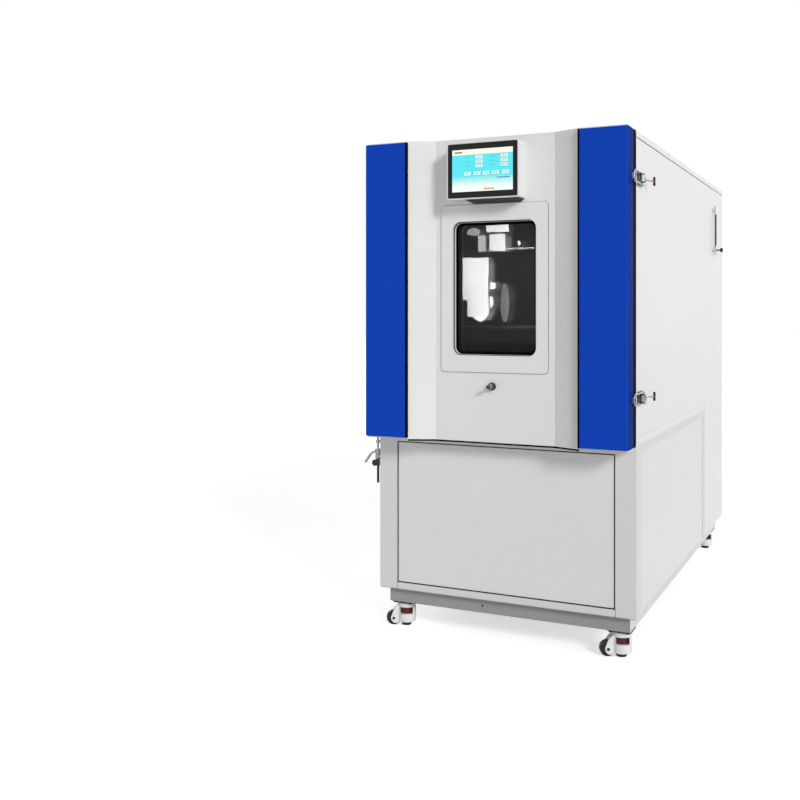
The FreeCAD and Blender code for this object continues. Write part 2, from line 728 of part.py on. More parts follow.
def build_fan():
    y0 = BAFFLE_Y + BAFFLE_T + FAN_FRONT_GAP
    plate = Part.makeCylinder(FAN_R, FAN_PLATE_T, V(0, y0 + FAN_W, FAN_Z), V(0, 1, 0))
    hub = Part.makeCylinder(FAN_HUB_R, FAN_W, V(0, y0, FAN_Z), V(0, 1, 0))
    shaft = Part.makeCylinder(SHAFT_R, FOAM_REAR_Y + MOTOR_FLANGE_T - y0, V(0, y0, FAN_Z), V(0, 1, 0))
    pieces = [plate, hub, shaft]
    for i in range(FAN_BLADES):
        foot_z = FAN_Z + FAN_R - FAN_RIM - FAN_BLADE_W
        blade = block(-FAN_BLADE_T / 2, FAN_BLADE_T / 2, y0, y0 + FAN_W, foot_z, foot_z + FAN_BLADE_W)
        blade.rotate(V(0, 0, foot_z), V(0, 1, 0), FAN_BLADE_TURN)
        blade.rotate(V(0, 0, FAN_Z), V(0, 1, 0), 360.0 * i / FAN_BLADES)
        pieces.append(blade)
    save("fan_impeller", fuse(pieces))
    y1 = FOAM_REAR_Y
    flange = Part.makeCylinder(MOTOR_FLANGE_R, MOTOR_FLANGE_T, V(0, y1, FAN_Z), V(0, 1, 0))
    can = Part.makeCylinder(MOTOR_R, MOTOR_L, V(0, y1 + MOTOR_FLANGE_T, FAN_Z), V(0, 1, 0))
    motor = fuse([flange, can])
    bore = Part.makeCylinder(SHAFT_R + SHAFT_FIT, MOTOR_FLANGE_T + SHAFT_END_GAP + 1, V(0, y1 - 1, FAN_Z), V(0, 1, 0))
    save("fan_motor", motor.cut(bore))


def build_coils():
    """Finned evaporator standing on the duct floor, with heater loops over it."""
    y_mid = (BAFFLE_Y + BAFFLE_T + CHAMBER_REAR_Y) / 2
    z0 = CHAMBER_Z0
    x0 = -COIL_W / 2
    fins = []
    pitch = (COIL_W - COIL_FIN_T) / (COIL_FINS - 1)
    for i in range(COIL_FINS):
        x = x0 + i * pitch
        fins.append(block(x, x + COIL_FIN_T, y_mid - COIL_D / 2, y_mid + COIL_D / 2, z0, z0 + COIL_H))
    tubes = []
    for row in range(COIL_TUBE_ROWS):
        z = z0 + COIL_H * (row + 0.5) / COIL_TUBE_ROWS
        tubes.append(rod(V(x0 - COIL_TUBE_OUT, y_mid, z), V(-x0 + COIL_TUBE_OUT, y_mid, z), COIL_TUBE_R))
    coil = fuse(fins + tubes)
    step = COIL_W / HEATER_LOOPS
    z_low = z0 + COIL_H + HEATER_R
    z_high = z_low + HEATER_H
    legs = []
    for i in range(HEATER_LOOPS):
        x = x0 + step * (i + 0.25)
        legs.append(rod(V(x, y_mid, z_low), V(x, y_mid, z_high), HEATER_R))
        legs.append(rod(V(x + step / 2, y_mid, z_low), V(x + step / 2, y_mid, z_high), HEATER_R))
        legs.append(rod(V(x - HEATER_R, y_mid, z_high), V(x + step / 2 + HEATER_R, y_mid, z_high), HEATER_R))
    legs.append(rod(V(x0, y_mid, z_low), V(-x0, y_mid, z_low), HEATER_R))
    heater = fuse(legs)
    save("coils", coil, heater)
    lamp_y = SHELF_FRONT_Y + LAMP_R
    dome = Part.makeCylinder(LAMP_R, LAMP_L, V(CHAMBER_HALF_W / 2, lamp_y, CHAMBER_Z1 - LAMP_L))
    low_edge = [e for e in dome.Edges if abs(e.CenterOfMass.z - (CHAMBER_Z1 - LAMP_L)) < 0.01]
    save("chamber_lamp", dome.makeFillet(LAMP_EDGE_R, low_edge))


# ---- machine bay
def build_machines():
    z0 = BODY_Z0 + BAY_PLATE_T
    shells = []
    for side in (-1, 1):
        x = side * COMP_X
        can = Part.makeCylinder(COMP_R, COMP_H, V(x, COMP_Y, z0 + COMP_LIFT))
        rims = [e for e in can.Edges if isinstance(e.Curve, Part.Circle)]
        can = can.makeFillet(COMP_EDGE_R, rims)
        half = COMP_FOOT
        foot = block(x - half, x + half, COMP_Y - half, COMP_Y + half, z0, z0 + COMP_FOOT_T)
        neck = Part.makeCylinder(COMP_NECK_R, COMP_LIFT + COMP_EDGE_R, V(x, COMP_Y, z0))
        shells.append(fuse([can, foot, neck]))
    y1 = DEPTH - SHEET - COND_REAR_GAP
    y0 = y1 - COND_D
    half = COND_W / 2
    fins = block(-half, half, y0, y1, COND_Z, COND_Z + COND_H)
    stand = block(-half, half, y0, y1, z0, z0 + COND_BASE_T)
    legs = []
    for side in (-1, 1):
        xs = sorted((side * half, side * (half - COND_LEG_W)))
        legs.append(block(xs[0], xs[1], y0, y1, z0, COND_Z))
    shroud = Part.makeCylinder(SHROUD_R, SHROUD_D, V(0, y0 - SHROUD_D, COND_Z + COND_H / 2), V(0, 1, 0))
    save("refrigeration_unit", *shells, fuse([fins, stand, shroud] + legs))

    tank_y = POST_Y + TANK_BEHIND_POST
    half = TANK_W / 2
    wall = TANK_WALL
    outer = block(-half, half, tank_y, tank_y + TANK_D, z0, z0 + TANK_H)
    inner = block(-half + wall, half - wall, tank_y + wall, tank_y + TANK_D - wall, z0 + wall, z0 + TANK_H - wall)
    filler = Part.makeCylinder(FILLER_R, FILLER_H, V(0, tank_y + TANK_D / 2, z0 + TANK_H))
    save("water_tank", outer.cut(inner), filler)

    box_y = tank_y + TANK_D + EBOX_GAP
    save("electrical_box", block(-EBOX_W / 2, EBOX_W / 2, box_y, box_y + EBOX_D, z0, z0 + EBOX_H))

    boiler_x = CHAMBER_HALF_W / 2
    boiler_y = FOAM_REAR_Y + BOILER_GAP
    deck_z = RAIL_TOP_Z
    boiler = Part.makeCylinder(BOILER_R, BOILER_H, V(boiler_x, boiler_y, deck_z))
    deck_half = HALF - POST_X
    deck = block(-deck_half, deck_half, FOAM_REAR_Y, REAR_SECTION_Y - SEAM, deck_z - BAY_PLATE_T, deck_z)
    pipe_z = deck_z + BOILER_H - STEAM_PIPE_DROP
    pipe = rod(V(boiler_x, FOAM_REAR_Y, pipe_z), V(boiler_x, boiler_y, pipe_z), STEAM_PIPE_R)
    save("humidifier", fuse([boiler, pipe]), deck)


def build_port():
    """Round cable port through the left wall: flanged stainless tube."""
    x0 = -HALF - PORT_FLANGE_T
    x1 = -CHAMBER_HALF_W
    tube = rod(V(x0, PORT_Y, PORT_Z), V(x1, PORT_Y, PORT_Z), PORT_R + PORT_WALL)
    flange = rod(V(x0, PORT_Y, PORT_Z), V(-HALF, PORT_Y, PORT_Z), PORT_FLANGE_R)
    bore = rod(V(x0 - 1, PORT_Y, PORT_Z), V(x1 + 1, PORT_Y, PORT_Z), PORT_R)
    save("test_port", fuse([tube, flange]).cut(bore))


# ---- door
def door_outline(front_shift, half):
    c, w = DOOR_CENTRE_HALF, WING_HALF
    yw = DOOR_WING_Y + front_shift
    yc = DOOR_CENTRE_Y + front_shift
    return [(-half, yw), (-w, yw), (-c, yc), (c, yc), (w, yw), (half, yw), (half, DOOR_REAR_Y), (-half, DOOR_REAR_Y)]


def build_door_shell():
    outer = prism(door_outline(0.0, PAN_HALF), DOOR_Z0, HEIGHT)
    inner = prism(door_outline(SHEET, PAN_HALF - SHEET), DOOR_Z0 + SHEET, HEIGHT - SHEET)
    inner = inner.fuse(block(-PAN_HALF + SHEET, PAN_HALF - SHEET, DOOR_REAR_Y - 1, DOOR_REAR_Y + 1,
                             DOOR_Z0 + SHEET, HEIGHT - SHEET))
    window = block(-WIN_HALF_W - RING_WALL, WIN_HALF_W + RING_WALL, DOOR_WING_Y, 0,
                   WIN_Z0 - RING_WALL, WIN_Z1 + RING_WALL)
    lock = Part.makeCylinder(LOCK_R, 2 * SHEET + 2, V(LOCK_X, DOOR_CENTRE_Y - 1, LOCK_Z), V(0, 1, 0))
    save("door_front_skin", cut(outer, [inner, window, lock]))

    z0, z1 = BLUE_Z0, HEIGHT - BLUE_TOP_DROP
    face = block(WING_HALF, DOOR_HALF, BLUE_FRONT_Y, DOOR_WING_Y, z0, z1)
    side = block(PAN_HALF, DOOR_HALF, BLUE_FRONT_Y, DOOR_REAR_Y, z0, z1)
    wing = fuse([face, side])
    corner = [e for e in wing.Edges
              if abs(e.CenterOfMass.x - DOOR_HALF) < 0.01 and abs(e.CenterOfMass.y - BLUE_FRONT_Y) < 0.01]
    wing = wing.makeFillet(BLUE_CORNER_R, corner)
    t = BLUE_SHEET
    hollow = block(WING_HALF + t, PAN_HALF - BLUE_GAP, BLUE_FRONT_Y + t, DOOR_WING_Y + 1, z0 + t, z1 - t)
    wing = wing.cut(hollow)
    save("door_side_skins", wing, mirror_x(wing))


def build_door_inside():
    z0, z1 = DOOR_Z0 + SHEET, HEIGHT - SHEET
    hx = PAN_HALF - SHEET
    wx = WIN_HALF_W + RING_WALL
    wz0, wz1 = WIN_Z0 - RING_WALL, WIN_Z1 + RING_WALL
    t = LINER_T
    sheet = block(-hx, hx, DOOR_REAR_Y - t, DOOR_REAR_Y, z0, z1)
    plug = block(-PLUG_HALF_W, PLUG_HALF_W, DOOR_REAR_Y - t, PLUG_Y, PLUG_Z0, PLUG_Z1)
    upright = [e for e in plug.Edges if abs(e.tangentAt(e.FirstParameter).y) > 0.99]
    plug = plug.makeFillet(PLUG_CORNER_R, upright)
    inside = block(-PLUG_HALF_W + t, PLUG_HALF_W - t, DOOR_REAR_Y - t - 1, PLUG_Y - t, PLUG_Z0 + t, PLUG_Z1 - t)
    upright = [e for e in inside.Edges if abs(e.tangentAt(e.FirstParameter).y) > 0.99]
    inside = inside.makeFillet(PLUG_CORNER_R - t, upright)
    window = block(-wx, wx, DOOR_CENTRE_Y, PLUG_Y + 1, wz0, wz1)
    save("door_inner_pan", cut(fuse([sheet, plug]), [inside, window]))

    y_rear = DOOR_REAR_Y - t
    yw, yc = DOOR_WING_Y + SHEET, DOOR_CENTRE_Y + SHEET
    c, w = DOOR_CENTRE_HALF, WING_HALF
    wing = prism([(hx, yw), (w, yw), (c, yc), (c, y_rear), (hx, y_rear)], z0, z1)
    plug_side = block(wx, PLUG_HALF_W - t, y_rear, PLUG_Y - t, PLUG_Z0 + t, PLUG_Z1 - t)
    outer_up = [e for e in plug_side.Edges
                if abs(e.tangentAt(e.FirstParameter).y) > 0.99 and e.CenterOfMass.x > wx + 1]
    plug_side = plug_side.makeFillet(PLUG_CORNER_R - t, outer_up)
    core = block(wx, c, yc, y_rear, wz0, wz1)
    lock_room = Part.makeCylinder(LOCK_R, LOCK_ROOM, V(LOCK_X, yc - 1, LOCK_Z), V(0, 1, 0))
    foams = [
        wing, mirror_x(wing), core, mirror_x(core), plug_side, mirror_x(plug_side),
        block(-c, c, yc, y_rear, wz1, z1),
        block(-c, c, yc, y_rear, z0, wz0).cut(lock_room),
        block(-wx, wx, y_rear, PLUG_Y - t, wz1, PLUG_Z1 - t),
        block(-wx, wx, y_rear, PLUG_Y - t, PLUG_Z0 + t, wz0),
    ]
    save("door_insulation", *foams)

    y1 = -GASKET_CLEAR
    z_mid = (CHAMBER_Z0 + CHAMBER_Z1) / 2
    z_half = (CHAMBER_Z1 - CHAMBER_Z0) / 2 + GASKET_IN
    x_half = CHAMBER_HALF_W + GASKET_IN
    inner_ring = seal_ring(x_half, z_half, z_mid, GASKET_W, GASKET_CORNER_R)
    lips = [e for e in inner_ring.Edges if abs(e.CenterOfMass.y - y1) < 0.01]
    inner_ring = inner_ring.makeFillet(GASKET_LIP_R, lips)
    z_low = BLUE_Z0 + RIM_SEAL_IN
    z_high = HEIGHT - BLUE_TOP_DROP - RIM_SEAL_IN
    z_mid = (z_low + z_high) / 2
    rim = seal_ring(DOOR_HALF - RIM_SEAL_IN, z_high - z_mid, z_mid, RIM_SEAL_W, RIM_SEAL_CORNER_R)
    save("door_gasket", inner_ring, rim)


def seal_ring(x_half, z_half, z_mid, width, corner):
    """Rectangular ring of rubber between the door's rear sheet and the cabinet's front plane."""
    y1 = -GASKET_CLEAR
    ring = rounded_front(x_half, z_half, corner, 0, z_mid, DOOR_REAR_Y, y1)
    x_hole, z_hole = x_half - width, z_half - width
    if corner > width:
        return ring.cut(rounded_front(x_hole, z_hole, corner - width, 0, z_mid, DOOR_REAR_Y - 1, y1 + 1))
    return ring.cut(block(-x_hole, x_hole, DOOR_REAR_Y - 1, y1 + 1, z_mid - z_hole, z_mid + z_hole))


def build_window():
    y_front = DOOR_CENTRE_Y - PLATE_T
    flange = rounded_front(PLATE_HALF_W, PLATE_HALF_H, PLATE_CORNER_R, 0, WIN_Z, y_front, DOOR_CENTRE_Y)
    tube = block(-WIN_HALF_W - RING_WALL, WIN_HALF_W + RING_WALL, DOOR_CENTRE_Y, PLUG_Y,
                 WIN_Z0 - RING_WALL, WIN_Z1 + RING_WALL)
    opening = rounded_front(WIN_HALF_W, WIN_HALF_H, WIN_CORNER_R, 0, WIN_Z, y_front - 1, PLUG_Y + 1)
    save("window_frame", fuse([flange, tube]).cut(opening))
    y_out = y_front + PANE_RECESS
    y_in = PLUG_Y - INNER_PANE_BACK - PANE_T
    panes = [rounded_front(WIN_HALF_W, WIN_HALF_H, WIN_CORNER_R, 0, WIN_Z, y, y + PANE_T) for y in (y_out, y_in)]
    save("window_panes", *panes)


def build_touch():
    z_mid = TOUCH_Z0 + TOUCH_H / 2
    body = rounded_front(TOUCH_W / 2, TOUCH_H / 2, TOUCH_CORNER_R, TOUCH_X, z_mid, TOUCH_FRONT_Y, DOOR_CENTRE_Y)
    wall = TOUCH_FRAME_T
    room = block(TOUCH_X - TOUCH_W / 2 + wall, TOUCH_X + TOUCH_W / 2 - wall, TOUCH_FRONT_Y + BEZEL_T,
                 DOOR_CENTRE_Y - SHEET, TOUCH_Z0 + wall, TOUCH_Z0 + TOUCH_H - wall)
    mouth = rounded_front(TOUCH_W / 2 - BEZEL_MARGIN, TOUCH_H / 2 - BEZEL_MARGIN, BEZEL_CORNER_R, TOUCH_X, z_mid,
                          TOUCH_FRONT_Y - 1, TOUCH_FRONT_Y + BEZEL_T + 1)
    save("touch_housing", cut(body, [room, mouth]))
    y0 = TOUCH_FRONT_Y - BEZEL_PROUD
    bezel = rounded_front(TOUCH_W / 2 - BEZEL_MARGIN, TOUCH_H / 2 - BEZEL_MARGIN, BEZEL_CORNER_R, TOUCH_X, z_mid,
                          y0, TOUCH_FRONT_Y + BEZEL_T)
    y_glass = y0 + SCREEN_SINK
    x0, x1 = TOUCH_X - SCREEN_W / 2, TOUCH_X + SCREEN_W / 2
    z0, z1 = z_mid - SCREEN_H / 2, z_mid + SCREEN_H / 2
    save("touch_bezel", bezel.cut(block(x0, x1, y0 - 1, y_glass + SCREEN_T, z0, z1)))
    save("touch_screen", block(x0, x1, y_glass, y_glass + SCREEN_T, z0, z1))


def build_lock():
    y_face = DOOR_CENTRE_Y
    back = y_face + LOCK_IN
    centre = V(LOCK_X, y_face - LOCK_OUT, LOCK_Z)
    barrel = Part.makeCylinder(LOCK_R, back - centre.y, centre, V(0, 1, 0))
    collar = Part.makeCylinder(LOCK_COLLAR_R, LOCK_COLLAR_T, V(LOCK_X, y_face - LOCK_COLLAR_T, LOCK_Z), V(0, 1, 0))
    bore = Part.makeCylinder(CORE_R + FIT, LOCK_OUT + CORE_DEPTH + 1, centre - V(0, 1, 0), V(0, 1, 0))
    save("lock_body", fuse([barrel, collar]).cut(bore))
    core = Part.makeCylinder(CORE_R, CORE_OUT + LOCK_OUT + CORE_DEPTH - 1, centre - V(0, CORE_OUT, 0), V(0, 1, 0))
    y0 = centre.y - CORE_OUT
    slot = block(LOCK_X - KEY_SLOT_W / 2, LOCK_X + KEY_SLOT_W / 2, y0 - 1, y0 + KEY_SLOT_D,
                 LOCK_Z - KEY_SLOT_L / 2, LOCK_Z + KEY_SLOT_L / 2)
    save("lock_core", core.cut(slot))


# ---- hinges on the left side
def build_hinges():
    cabinet = []
    door = []
    pins = []
    side_x = -HALF
    for z_mid in HINGE_ZS:
        z0, z1 = z_mid - HINGE_H / 2, z_mid + HINGE_H / 2
        split = z_mid - HINGE_SPLIT / 2
        axis = V(HINGE_X, HINGE_Y, 0)
        knuckle = Part.makeCylinder(KNUCKLE_R, split - z0, V(axis.x, axis.y, z0))
        web = block(HINGE_X, side_x, HINGE_Y + KNUCKLE_R - WEB_H, HINGE_Y + KNUCKLE_R, z0, split)
        web = web.fuse(block(side_x - LEAF_T, side_x, HINGE_Y + KNUCKLE_R - WEB_H, -DOOR_REAR_Y + LEAF_T, z0, split))
        leaf = block(side_x - LEAF_T, side_x, LEAF_T, LEAF_T + LEAF_L, z0, z1)
        bore = Part.makeCylinder(PIN_R, HINGE_H, V(axis.x, axis.y, z0 - 1))
        cabinet.append(fuse([knuckle, web, leaf]).cut(bore))
        upper = split + HINGE_SPLIT
        knuckle = Part.makeCylinder(KNUCKLE_R, z1 - upper, V(axis.x, axis.y, upper))
        web = block(HINGE_X, side_x, HINGE_Y - KNUCKLE_R, HINGE_Y - KNUCKLE_R + WEB_H, upper, z1)
        leaf = block(side_x - LEAF_T, side_x, HINGE_Y - KNUCKLE_R - LEAF_L, HINGE_Y - KNUCKLE_R + WEB_H, z0, z1)
        bore = Part.makeCylinder(PIN_R + FIT, HINGE_H, V(axis.x, axis.y, upper - 1))
        door.append(fuse([knuckle, web, leaf]).cut(bore))
        pin = Part.makeCylinder(PIN_R, HINGE_H - PIN_SHORT, V(axis.x, axis.y, z0))
        pins.append(pin)
    save("hinge_cabinet_side", *cabinet, *pins)
    save("hinge_door_side", *door)


# ---- toggle latches on the right side
def build_latches():
    px = HALF + LATCH_PIVOT_X
    py = LATCH_PIVOT_Y
    cy = py + LATCH_CRANK
    bases = []
    keepers = []
    for name, z in zip(("upper", "lower"), LATCH_ZS):
        base = block(HALF, HALF + LATCH_BASE_T, LATCH_BASE_Y, LATCH_BASE_Y + LATCH_BASE_L,
                     z - LATCH_BASE_H / 2, z + LATCH_BASE_H / 2)
        upright = [e for e in base.Edges if abs(e.tangentAt(e.FirstParameter).x) > 0.99]
        base = base.makeFillet(LATCH_BASE_R, upright)
        ears = []
        for side in (-1, 1):
            zs = sorted((z + side * EAR_IN, z + side * (EAR_IN + EAR_T)))
            ear = fuse([
                block(HALF, px, py - LATCH_EAR_R, py + LATCH_EAR_R, zs[0], zs[1]),
                Part.makeCylinder(LATCH_EAR_R, EAR_T, V(px, py, zs[0])),
            ])
            ears.append(ear)
        pin = Part.makeCylinder(LATCH_PIN_R, 2 * (EAR_IN + EAR_T), V(px, py, z - EAR_IN - EAR_T))
        bases.append(fuse([base, pin] + ears))

        w = LATCH_HANDLE_W / 2
        boss = Part.makeCylinder(LATCH_EAR_R - 1.0, 2 * w, V(px, py, z - w))
        arm = block(px - LATCH_ARM_T / 2, px + LATCH_ARM_T / 2, py, cy + LATCH_ARM_PAST, z - w, z + w)
        crank = Part.makeCylinder(LATCH_ARM_T, 2 * w, V(px, cy, z - w))
        crank_pin = Part.makeCylinder(LATCH_CRANK_PIN_R, 2 * (HOOK_Z + HOOK_R), V(px, cy, z - HOOK_Z - HOOK_R))
        tip = V(HALF + LATCH_T_X, LATCH_T_Y, z)
        stem = rod(V(px, cy + LATCH_ARM_PAST - LATCH_STEM_IN, z), tip, LATCH_STEM_R)
        bar = Part.makeCylinder(LATCH_T_R, LATCH_T_L, tip - V(0, 0, LATCH_T_L / 2))
        ends = [e for e in bar.Edges if isinstance(e.Curve, Part.Circle)]
        bar = bar.makeFillet(LATCH_T_R * 0.6, ends)
        window = block(px - LATCH_ARM_T, px + LATCH_ARM_T, cy + LATCH_WINDOW[0], cy + LATCH_WINDOW[1],
                       z - LATCH_WINDOW_HALF, z + LATCH_WINDOW_HALF)
        handle = fuse([boss, arm, crank, crank_pin, stem, bar])
        bore = Part.makeCylinder(LATCH_PIN_R + FIT, 2 * w + 2, V(px, py, z - w - 1))
        save("latch_handle_" + name, cut(handle, [bore, window]))

        start = V(px, cy, z + HOOK_Z)
        far = V(HALF + HOOK_END_X, HOOK_END_Y, z + HOOK_Z)
        direction = (far - start).normalize()
        bend_start = far - direction * HOOK_BEND
        pieces = []
        for side in (-1, 1):
            lift = V(0, 0, side * HOOK_Z - HOOK_Z)
            eye = Part.makeCylinder(HOOK_EYE_R, 2 * HOOK_R, V(px, cy, z + side * HOOK_Z - HOOK_R))
            pieces.append(eye)
            pieces.append(rod(start + lift, bend_start + lift, HOOK_R))
            corner = far + V(0, 0, side * HOOK_Z - HOOK_Z - side * HOOK_BEND)
            pieces.append(rod(bend_start + lift, corner, HOOK_R))
            pieces.append(Part.makeSphere(HOOK_R, bend_start + lift))
            pieces.append(Part.makeSphere(HOOK_R, corner))
        pieces.append(rod(far - V(0, 0, HOOK_BEND), far - V(0, 0, 2 * HOOK_Z - HOOK_BEND), HOOK_R))
        hook = fuse(pieces)
        eye_bore = Part.makeCylinder(LATCH_CRANK_PIN_R + FIT, 4 * HOOK_Z, V(px, cy, z - 2 * HOOK_Z))
        save("latch_hook_" + name, hook.cut(eye_bore))

        top = HOOK_END_X - HOOK_R - KEEPER_GAP
        y0 = HOOK_END_Y - HOOK_R
        y1 = y0 + KEEPER_L
        profile = [
            V(HALF, y0, 0), V(HALF + top / 2, y0, 0), V(HALF + top, y0 + KEEPER_RAMP, 0),
            V(HALF + top, y1 - KEEPER_LIP, 0), V(HALF + top / 2, y1, 0), V(HALF, y1, 0),
        ]
        face = Part.Face(Part.makePolygon(profile + [profile[0]]))
        keepers.append(face.extrude(V(0, 0, KEEPER_H)).translated(V(0, 0, z - KEEPER_H / 2)))
    save("latch_bases", *bases)
    save("latch_keepers", *keepers)


# ---- drain valve on the left side
def build_drain():
    x = -HALF - DRAIN_X_OFF
    y = DRAIN_Y
    pipe = Part.makeCylinder(DRAIN_PIPE_R, DRAIN_PIPE_L, V(x, y, DRAIN_BODY_Z1))
    body = Part.makeCylinder(DRAIN_BODY_R, DRAIN_BODY_H, V(x, y, DRAIN_BODY_Z0))
    rim = DRAIN_BODY_R + DRAIN_COLLAR_OUT
    collar = Part.makeCylinder(rim, DRAIN_COLLAR_T, V(x, y, DRAIN_BODY_Z1 - DRAIN_COLLAR_T))
    foot = Part.makeCylinder(rim, DRAIN_COLLAR_T, V(x, y, DRAIN_BODY_Z0))
    bracket_z = DRAIN_BODY_Z1 + DRAIN_BRACKET_UP - DRAIN_BRACKET_H / 2
    half = DRAIN_BRACKET_T / 2
    clamp = fuse([
        Part.makeCylinder(DRAIN_PIPE_R + DRAIN_CLAMP_WALL, DRAIN_BRACKET_H, V(x, y, bracket_z)),
        block(x, -HALF, y - half, y + half, bracket_z, bracket_z + DRAIN_BRACKET_H),
    ])
    nipple_z = DRAIN_BODY_Z0 + DRAIN_NIPPLE_UP
    nipple = rod(V(x, y, nipple_z), V(-HALF, y, nipple_z), DRAIN_NIPPLE_R)

    r = DRAIN_SPOUT_BEND
    spout_z = DRAIN_BODY_Z0 + DRAIN_SPOUT_UP
    bend_x = x - DRAIN_SPOUT_RUN

    def on_bend(angle):
        return V(bend_x - r * math.sin(angle), y, spout_z - r * (1 - math.cos(angle)))

    start = V(x, y, spout_z)
    bend_end = on_bend(SPOUT_SLOPE)
    along = V(-math.cos(SPOUT_SLOPE), 0, -math.sin(SPOUT_SLOPE))
    path = Part.Wire([
        Part.LineSegment(start, on_bend(0)).toShape(),
        Part.Arc(on_bend(0), on_bend(SPOUT_SLOPE / 2), bend_end).toShape(),
        Part.LineSegment(bend_end, bend_end + along * DRAIN_SPOUT_END).toShape(),
    ])

    def tube(radius):
        ring = Part.Wire([Part.Circle(start, V(1, 0, 0), radius).toShape()])
        return path.makePipeShell([ring], True, False)

    valve = fuse([pipe, body, collar, foot, clamp, nipple, tube(DRAIN_SPOUT_R)])
    valve = valve.cut(tube(DRAIN_SPOUT_BORE))
    z = DRAIN_LEVER_Z
    y_face = y - rim - DRAIN_SEAT_OUT
    seat = Part.makeCylinder(DRAIN_HUB_R - DRAIN_SEAT_OUT, DRAIN_SEAT_L, V(x, y_face, z), V(0, 1, 0))
    valve = fuse([valve, seat])
    hole = Part.makeCylinder(DRAIN_STEM_R + FIT, DRAIN_SEAT_L, V(x, y_face - 1, z), V(0, 1, 0))
    save("drain_valve", valve.cut(hole))

    hub_y = y_face - SWIVEL_GAP - DRAIN_HUB_T
    hub = Part.makeCylinder(DRAIN_HUB_R, DRAIN_HUB_T, V(x, hub_y, z), V(0, 1, 0))
    stem = Part.makeCylinder(DRAIN_STEM_R, DRAIN_HUB_T + DRAIN_STEM_IN, V(x, hub_y, z), V(0, 1, 0))
    blade_x = x + DRAIN_LEVER_X
    top = z + DRAIN_LEVER_TOP
    blade = block(blade_x, blade_x + DRAIN_LEVER_W, hub_y, hub_y + DRAIN_LEVER_T, z - DRAIN_LEVER_L, top)
    arm = block(x, blade_x + DRAIN_LEVER_W, hub_y, hub_y + DRAIN_LEVER_T, z, top)
    lever = fuse([arm, blade])
    corners = [e for e in lever.Edges
               if abs(e.tangentAt(e.FirstParameter).y) > 0.99 and e.CenterOfMass.x > x + 1
               and (e.CenterOfMass.z < z - 1 or e.CenterOfMass.x > blade_x + 1)]
    lever = lever.makeFillet(DRAIN_LEVER_W * 0.4, corners)
    save("drain_lever", fuse([hub, stem, lever]))


# ---- water level gauge on the right side
def build_gauge():
    x = HALF + GAUGE_X_OFF
    y = GAUGE_Y
    fittings = []
    for z, toward in ((GAUGE_TOP_Z, -1), (GAUGE_BOT_Z, 1)):
        cap = Part.makeCylinder(GAUGE_FIT_R, GAUGE_FIT_H, V(x, y, z - GAUGE_FIT_H / 2))
        nut_z = z + toward * (GAUGE_FIT_H - GAUGE_NUT_H) / 2 - GAUGE_NUT_H / 2
        nut = Part.makeCylinder(GAUGE_FIT_R + GAUGE_NUT_OUT, GAUGE_NUT_H, V(x, y, nut_z))
        leg = rod(V(HALF, y, z), V(x, y, z), GAUGE_FIT_R - 1)
        flange = rod(V(HALF, y, z), V(HALF + GAUGE_FLANGE_T, y, z), GAUGE_FIT_R + GAUGE_FLANGE_OUT)
        fittings.append(fuse([cap, nut, leg, flange]))
    tube_z0 = GAUGE_BOT_Z + GAUGE_FIT_H / 2
    tube_z1 = GAUGE_TOP_Z - GAUGE_FIT_H / 2
    tube = Part.makeCylinder(GAUGE_TUBE_R, tube_z1 - tube_z0, V(x, y, tube_z0))
    hole = Part.makeCylinder(GAUGE_STEM_R + FIT, GAUGE_HOLE_L, V(x, y, GAUGE_BOT_Z), V(1, 0, 0))
    save("level_gauge", fittings[0], fittings[1].cut(hole), tube)
    stem = Part.makeCylinder(GAUGE_STEM_R, GAUGE_STEM_L, V(x, y, GAUGE_BOT_Z), V(1, 0, 0))
    knob = Part.makeCylinder(GAUGE_KNOB_R, GAUGE_KNOB_L, V(x + GAUGE_STEM_L, y, GAUGE_BOT_Z), V(1, 0, 0))
    flutes = []
    for i in range(GAUGE_KNOB_FLUTES):
        a = 2 * math.pi * i / GAUGE_KNOB_FLUTES
        ring = GAUGE_KNOB_R + GAUGE_FLUTE_OUT
        c = V(x + GAUGE_STEM_L - 1, y + ring * math.cos(a), GAUGE_BOT_Z + ring * math.sin(a))
        flutes.append(Part.makeCylinder(GAUGE_FLUTE_R, GAUGE_KNOB_L + 2, c, V(1, 0, 0)))
    save("gauge_cock", fuse([stem, knob.cut(Part.Compound(flutes))]))


# ---- levelling casters
def caster_plate(x, y):
    half = CASTER_PLATE / 2
    z1 = PLINTH_Z
    z0 = z1 - CASTER_PLATE_T
    plate = block(x - half, x + half, y - half, y + half, z0, z1)
    upright = [e for e in plate.Edges if abs(e.tangentAt(e.FirstParameter).z) > 0.99]
    plate = plate.makeFillet(CASTER_PLATE_R, upright)
    pieces = [plate, Part.makeCylinder(SWIVEL_COLLAR_R, SWIVEL_COLLAR_H, V(x, y, z0 - SWIVEL_COLLAR_H))]
    reach = CASTER_BOLT_PITCH / 2
    for dx in (-reach, reach):
        for dy in (-reach, reach):
            pieces.append(Part.makeCylinder(BOLT_HEAD_R, BOLT_HEAD_H, V(x + dx, y + dy, z0 - BOLT_HEAD_H)))
    return fuse(pieces)


